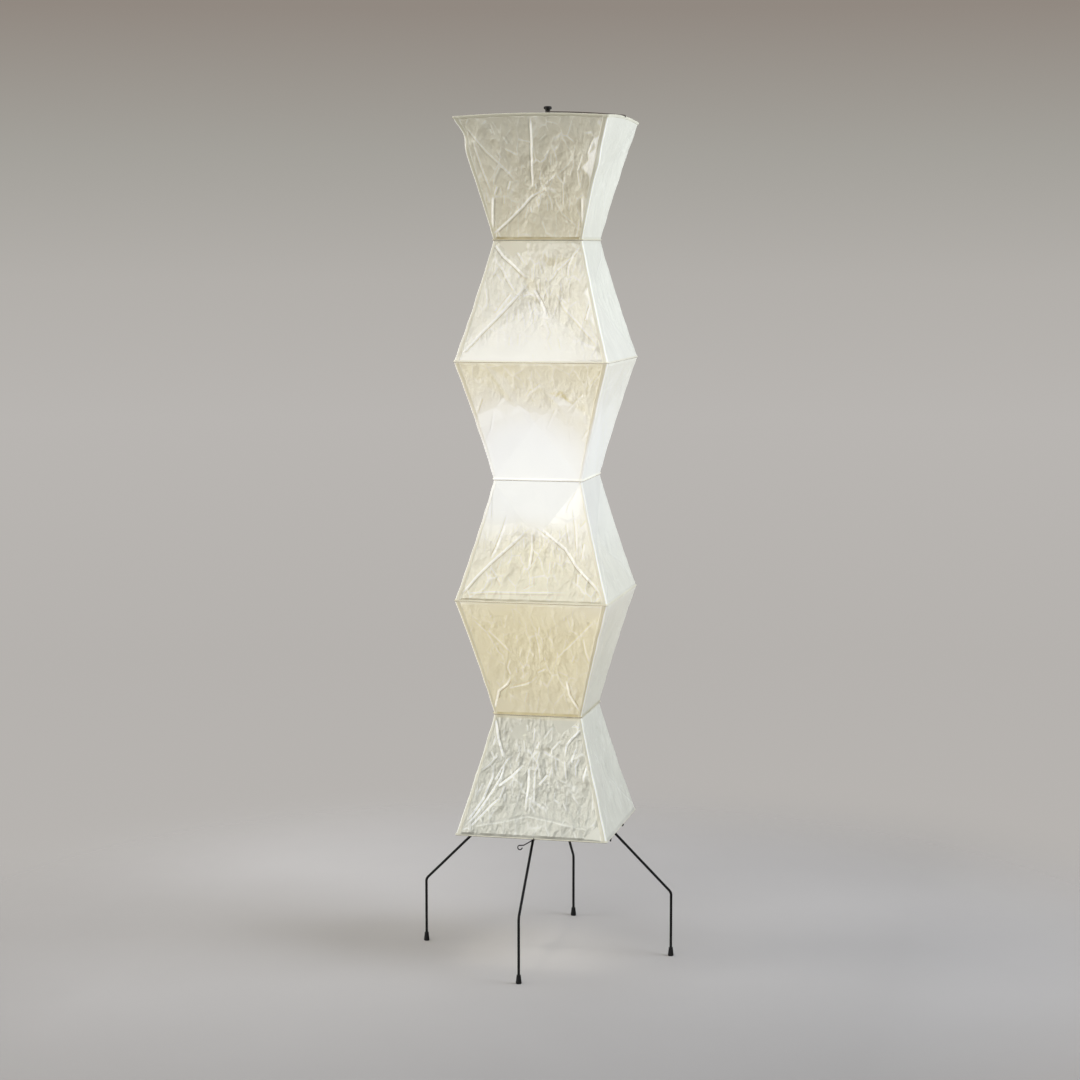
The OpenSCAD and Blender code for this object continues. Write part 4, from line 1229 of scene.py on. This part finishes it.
# %% The backdrop in the world
# Painted light and shade of the wall, darker towards the bottom and much darker towards the top.
BACKDROP = [
    (0.0, (0.40, 0.385, 0.37)), (0.10, (0.44, 0.42, 0.405)), (0.22, (0.475, 0.455, 0.435)),
    (0.40, (0.465, 0.445, 0.425)), (0.62, (0.485, 0.465, 0.445)), (0.75, (0.45, 0.43, 0.405)),
    (0.87, (0.37, 0.355, 0.325)), (1.0, (0.285, 0.25, 0.22))]
world = bpy.data.worlds.new("studio")
bpy.context.scene.world = world
world.use_nodes = True
w = world.node_tree
w.nodes.clear()
ray = add(w, "ShaderNodeTexCoord").outputs["Generated"]
gradient = ramp(w, window(w, split(w, ray)[2], -0.33, 0.095, 0.0, 1.0), BACKDROP, grey=False)
path = add(w, "ShaderNodeLightPath")
seen = calc(w, "MAXIMUM", path.outputs["Is Camera Ray"], calc(
    w, "MAXIMUM", path.outputs["Is Glossy Ray"], path.outputs["Is Transmission Ray"]))
even = add(w, "ShaderNodeBackground", {"Color": (0.99, 0.98, 1.0, 1), "Strength": 0.17})
wall = add(w, "ShaderNodeBackground", {"Color": gradient, "Strength": 1.0})
both = add(w, "ShaderNodeMixShader", {0: seen, 1: even.outputs[0], 2: wall.outputs[0]})
w.links.new(both.outputs[0], w.nodes.new("ShaderNodeOutputWorld").inputs[0])
print("world:", len(w.nodes), "nodes and", len(BACKDROP), "stops")

# %% [markdown]
# The floor's disc is made of rings of tiles. Its colour is a little cloudy, and a painted
# shade dims it to the right and towards the front, to match how the light falls off there.
# Its edge fades out by its alpha, so no line shows where it ends.

# %% The floor
RINGS, SPOKES, FLOOR_RADIUS = 24, 96, 2.4
spots = [(0.0, 0.0, 0.0)]
for ring in range(1, RINGS + 1):
    for spoke in range(SPOKES):
        angle = math.tau * spoke / SPOKES
        radius = FLOOR_RADIUS * ring / RINGS
        spots.append((radius * math.cos(angle), radius * math.sin(angle), 0.0))
tiles = [(0, 1 + s, 1 + (s + 1) % SPOKES) for s in range(SPOKES)]
for ring in range(RINGS - 1):
    for s in range(SPOKES):
        a, b = 1 + ring * SPOKES + s, 1 + ring * SPOKES + (s + 1) % SPOKES
        tiles.append((a, a + SPOKES, b + SPOKES, b))
floor_mesh = bpy.data.meshes.new("floor")
floor_mesh.from_pydata(spots, [], tiles)
put("floor", floor_mesh)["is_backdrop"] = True

cove, tree, shader = shiny("pale_floor", Roughness=0.9)
shader.inputs["Specular IOR Level"].default_value = 0.1
at = object_place(tree)
fade = window(tree, steer(tree, "LENGTH", at), 0.8, 2.0, smooth="SMOOTHERSTEP")
reach_x, reach_y, _ = split(tree, at)
# Painted shade: darker to the right and towards the front.
painted_falloff = calc(tree, "MULTIPLY", window(tree, reach_x, -0.9, 0.8, 1.10, 0.68),
              window(tree, reach_y, -1.0, 0.6, 0.86, 1.05))
fill(tree, shader.inputs["Base Color"], scaled(tree, mix(
    tree, noise(tree, at, 3.0, 5.0)[0], (0.70, 0.675, 0.645, 1),
    (0.74, 0.715, 0.685, 1)), painted_falloff))
fill(tree, shader.inputs["Alpha"], fade)
floor_mesh.materials.append(cove)
print("floor:", len(tiles), "tiles")

# %% [markdown]
# ## Light and camera
# Wide soft lights stand for studio panels. A sun with a wide angle gives such even light,
# with shadows that melt away. Its strength is written as the share of full white that it adds
# to a white card facing it. The right-hand panel is a real square lamp near the top of the
# shade instead, because its light has to fall off towards the floor.


# %% Soft studio lights
def hang_lamp(data, azimuth, elevation, distance, aim=(0, 0, 0)):
    lamp = put(data.name, data)
    a, e = math.radians(azimuth), math.radians(elevation)
    source = Vector((math.cos(e) * math.cos(a), math.cos(e) * math.sin(a), math.sin(e)))
    lamp.rotation_euler = source.to_track_quat("Z", "Y").to_euler()
    lamp.location = source * distance + Vector(aim)
    return lamp


def panel_light(name, share, azimuth, elevation, spread, colour=(1, 1, 1)):
    data = bpy.data.lights.new(name, "SUN")
    data.energy = share * math.pi
    data.angle = math.radians(spread)
    data.color = colour
    return hang_lamp(data, azimuth, elevation, 4)


panel_light("front_panel", 0.21, 262, 46, 50)
panel_light("left_panel", 0.15, 195, 40, 25)
panel_light("raking_panel", 0.27, 205, 6, 12)
panel_light("rear_fill", 0.12, 120, 35, 60)
right_panel = bpy.data.lights.new("right_panel", "AREA")
right_panel.shape = "SQUARE"
right_panel.size = 1.5
right_panel.energy = 37.0
right_panel.color = (0.92, 0.98, 1.10)
hang_lamp(right_panel, -2, 20, 2.1, (0, 0, 1.25))
print("soft lights:", [light.name for light in bpy.data.lights])

# %% [markdown]
# One more light is seen only as a shine. It stands where the panels that lean back mirror it
# to the front, so that every facet there is a little brighter or darker than the next.

# %% The sheen on the facets
sheen = panel_light("sheen_panel", 0.34, 244, 18, 22)
sheen.visible_diffuse = False
print("lights:", len(bpy.data.lights))

# %% [markdown]
# The bulb also throws a soft pool of light on the floor through the open lower end of the
# shade. A spot lamp at the bulb, aimed straight down and as wide as that opening, gives it.

# %% The pool of light on the floor
pool = bpy.data.lights.new("bulb_pool", "SPOT")
pool.energy = 3.5
pool.spot_size = math.radians(34)
pool.spot_blend = 1.0
pool.shadow_soft_size = 0.03
pool.color = (1.0, 0.93, 0.82)
put("bulb_pool", pool).location = (BULB.x, BULB.y, 0.98)
print("pool lamp:", pool.energy, "W")

# %% [markdown]
# The photograph was taken from a little over five metres away, slightly left of square on,
# from above the middle of the lamp. A long lens keeps the uprights straight.

# %% The camera
eye = bpy.data.cameras.new("camera")
eye.lens = 82.57
eye.sensor_width = 36.0
camera = put("camera", eye)
camera.location = (1.226, -5.483, 1.612)
camera.rotation_euler = Vector((-0.2197, 0.9686, -0.1160)).to_track_quat("-Z", "Y").to_euler()
bpy.context.scene.camera = camera
bpy.context.scene.view_settings.view_transform = "Standard"
print("camera:", eye.lens, "mm lens at", [round(v, 3) for v in camera.location])

# %% The dressed size
low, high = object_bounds()
print("dressed box:", [round(v, 4) for v in high - low])
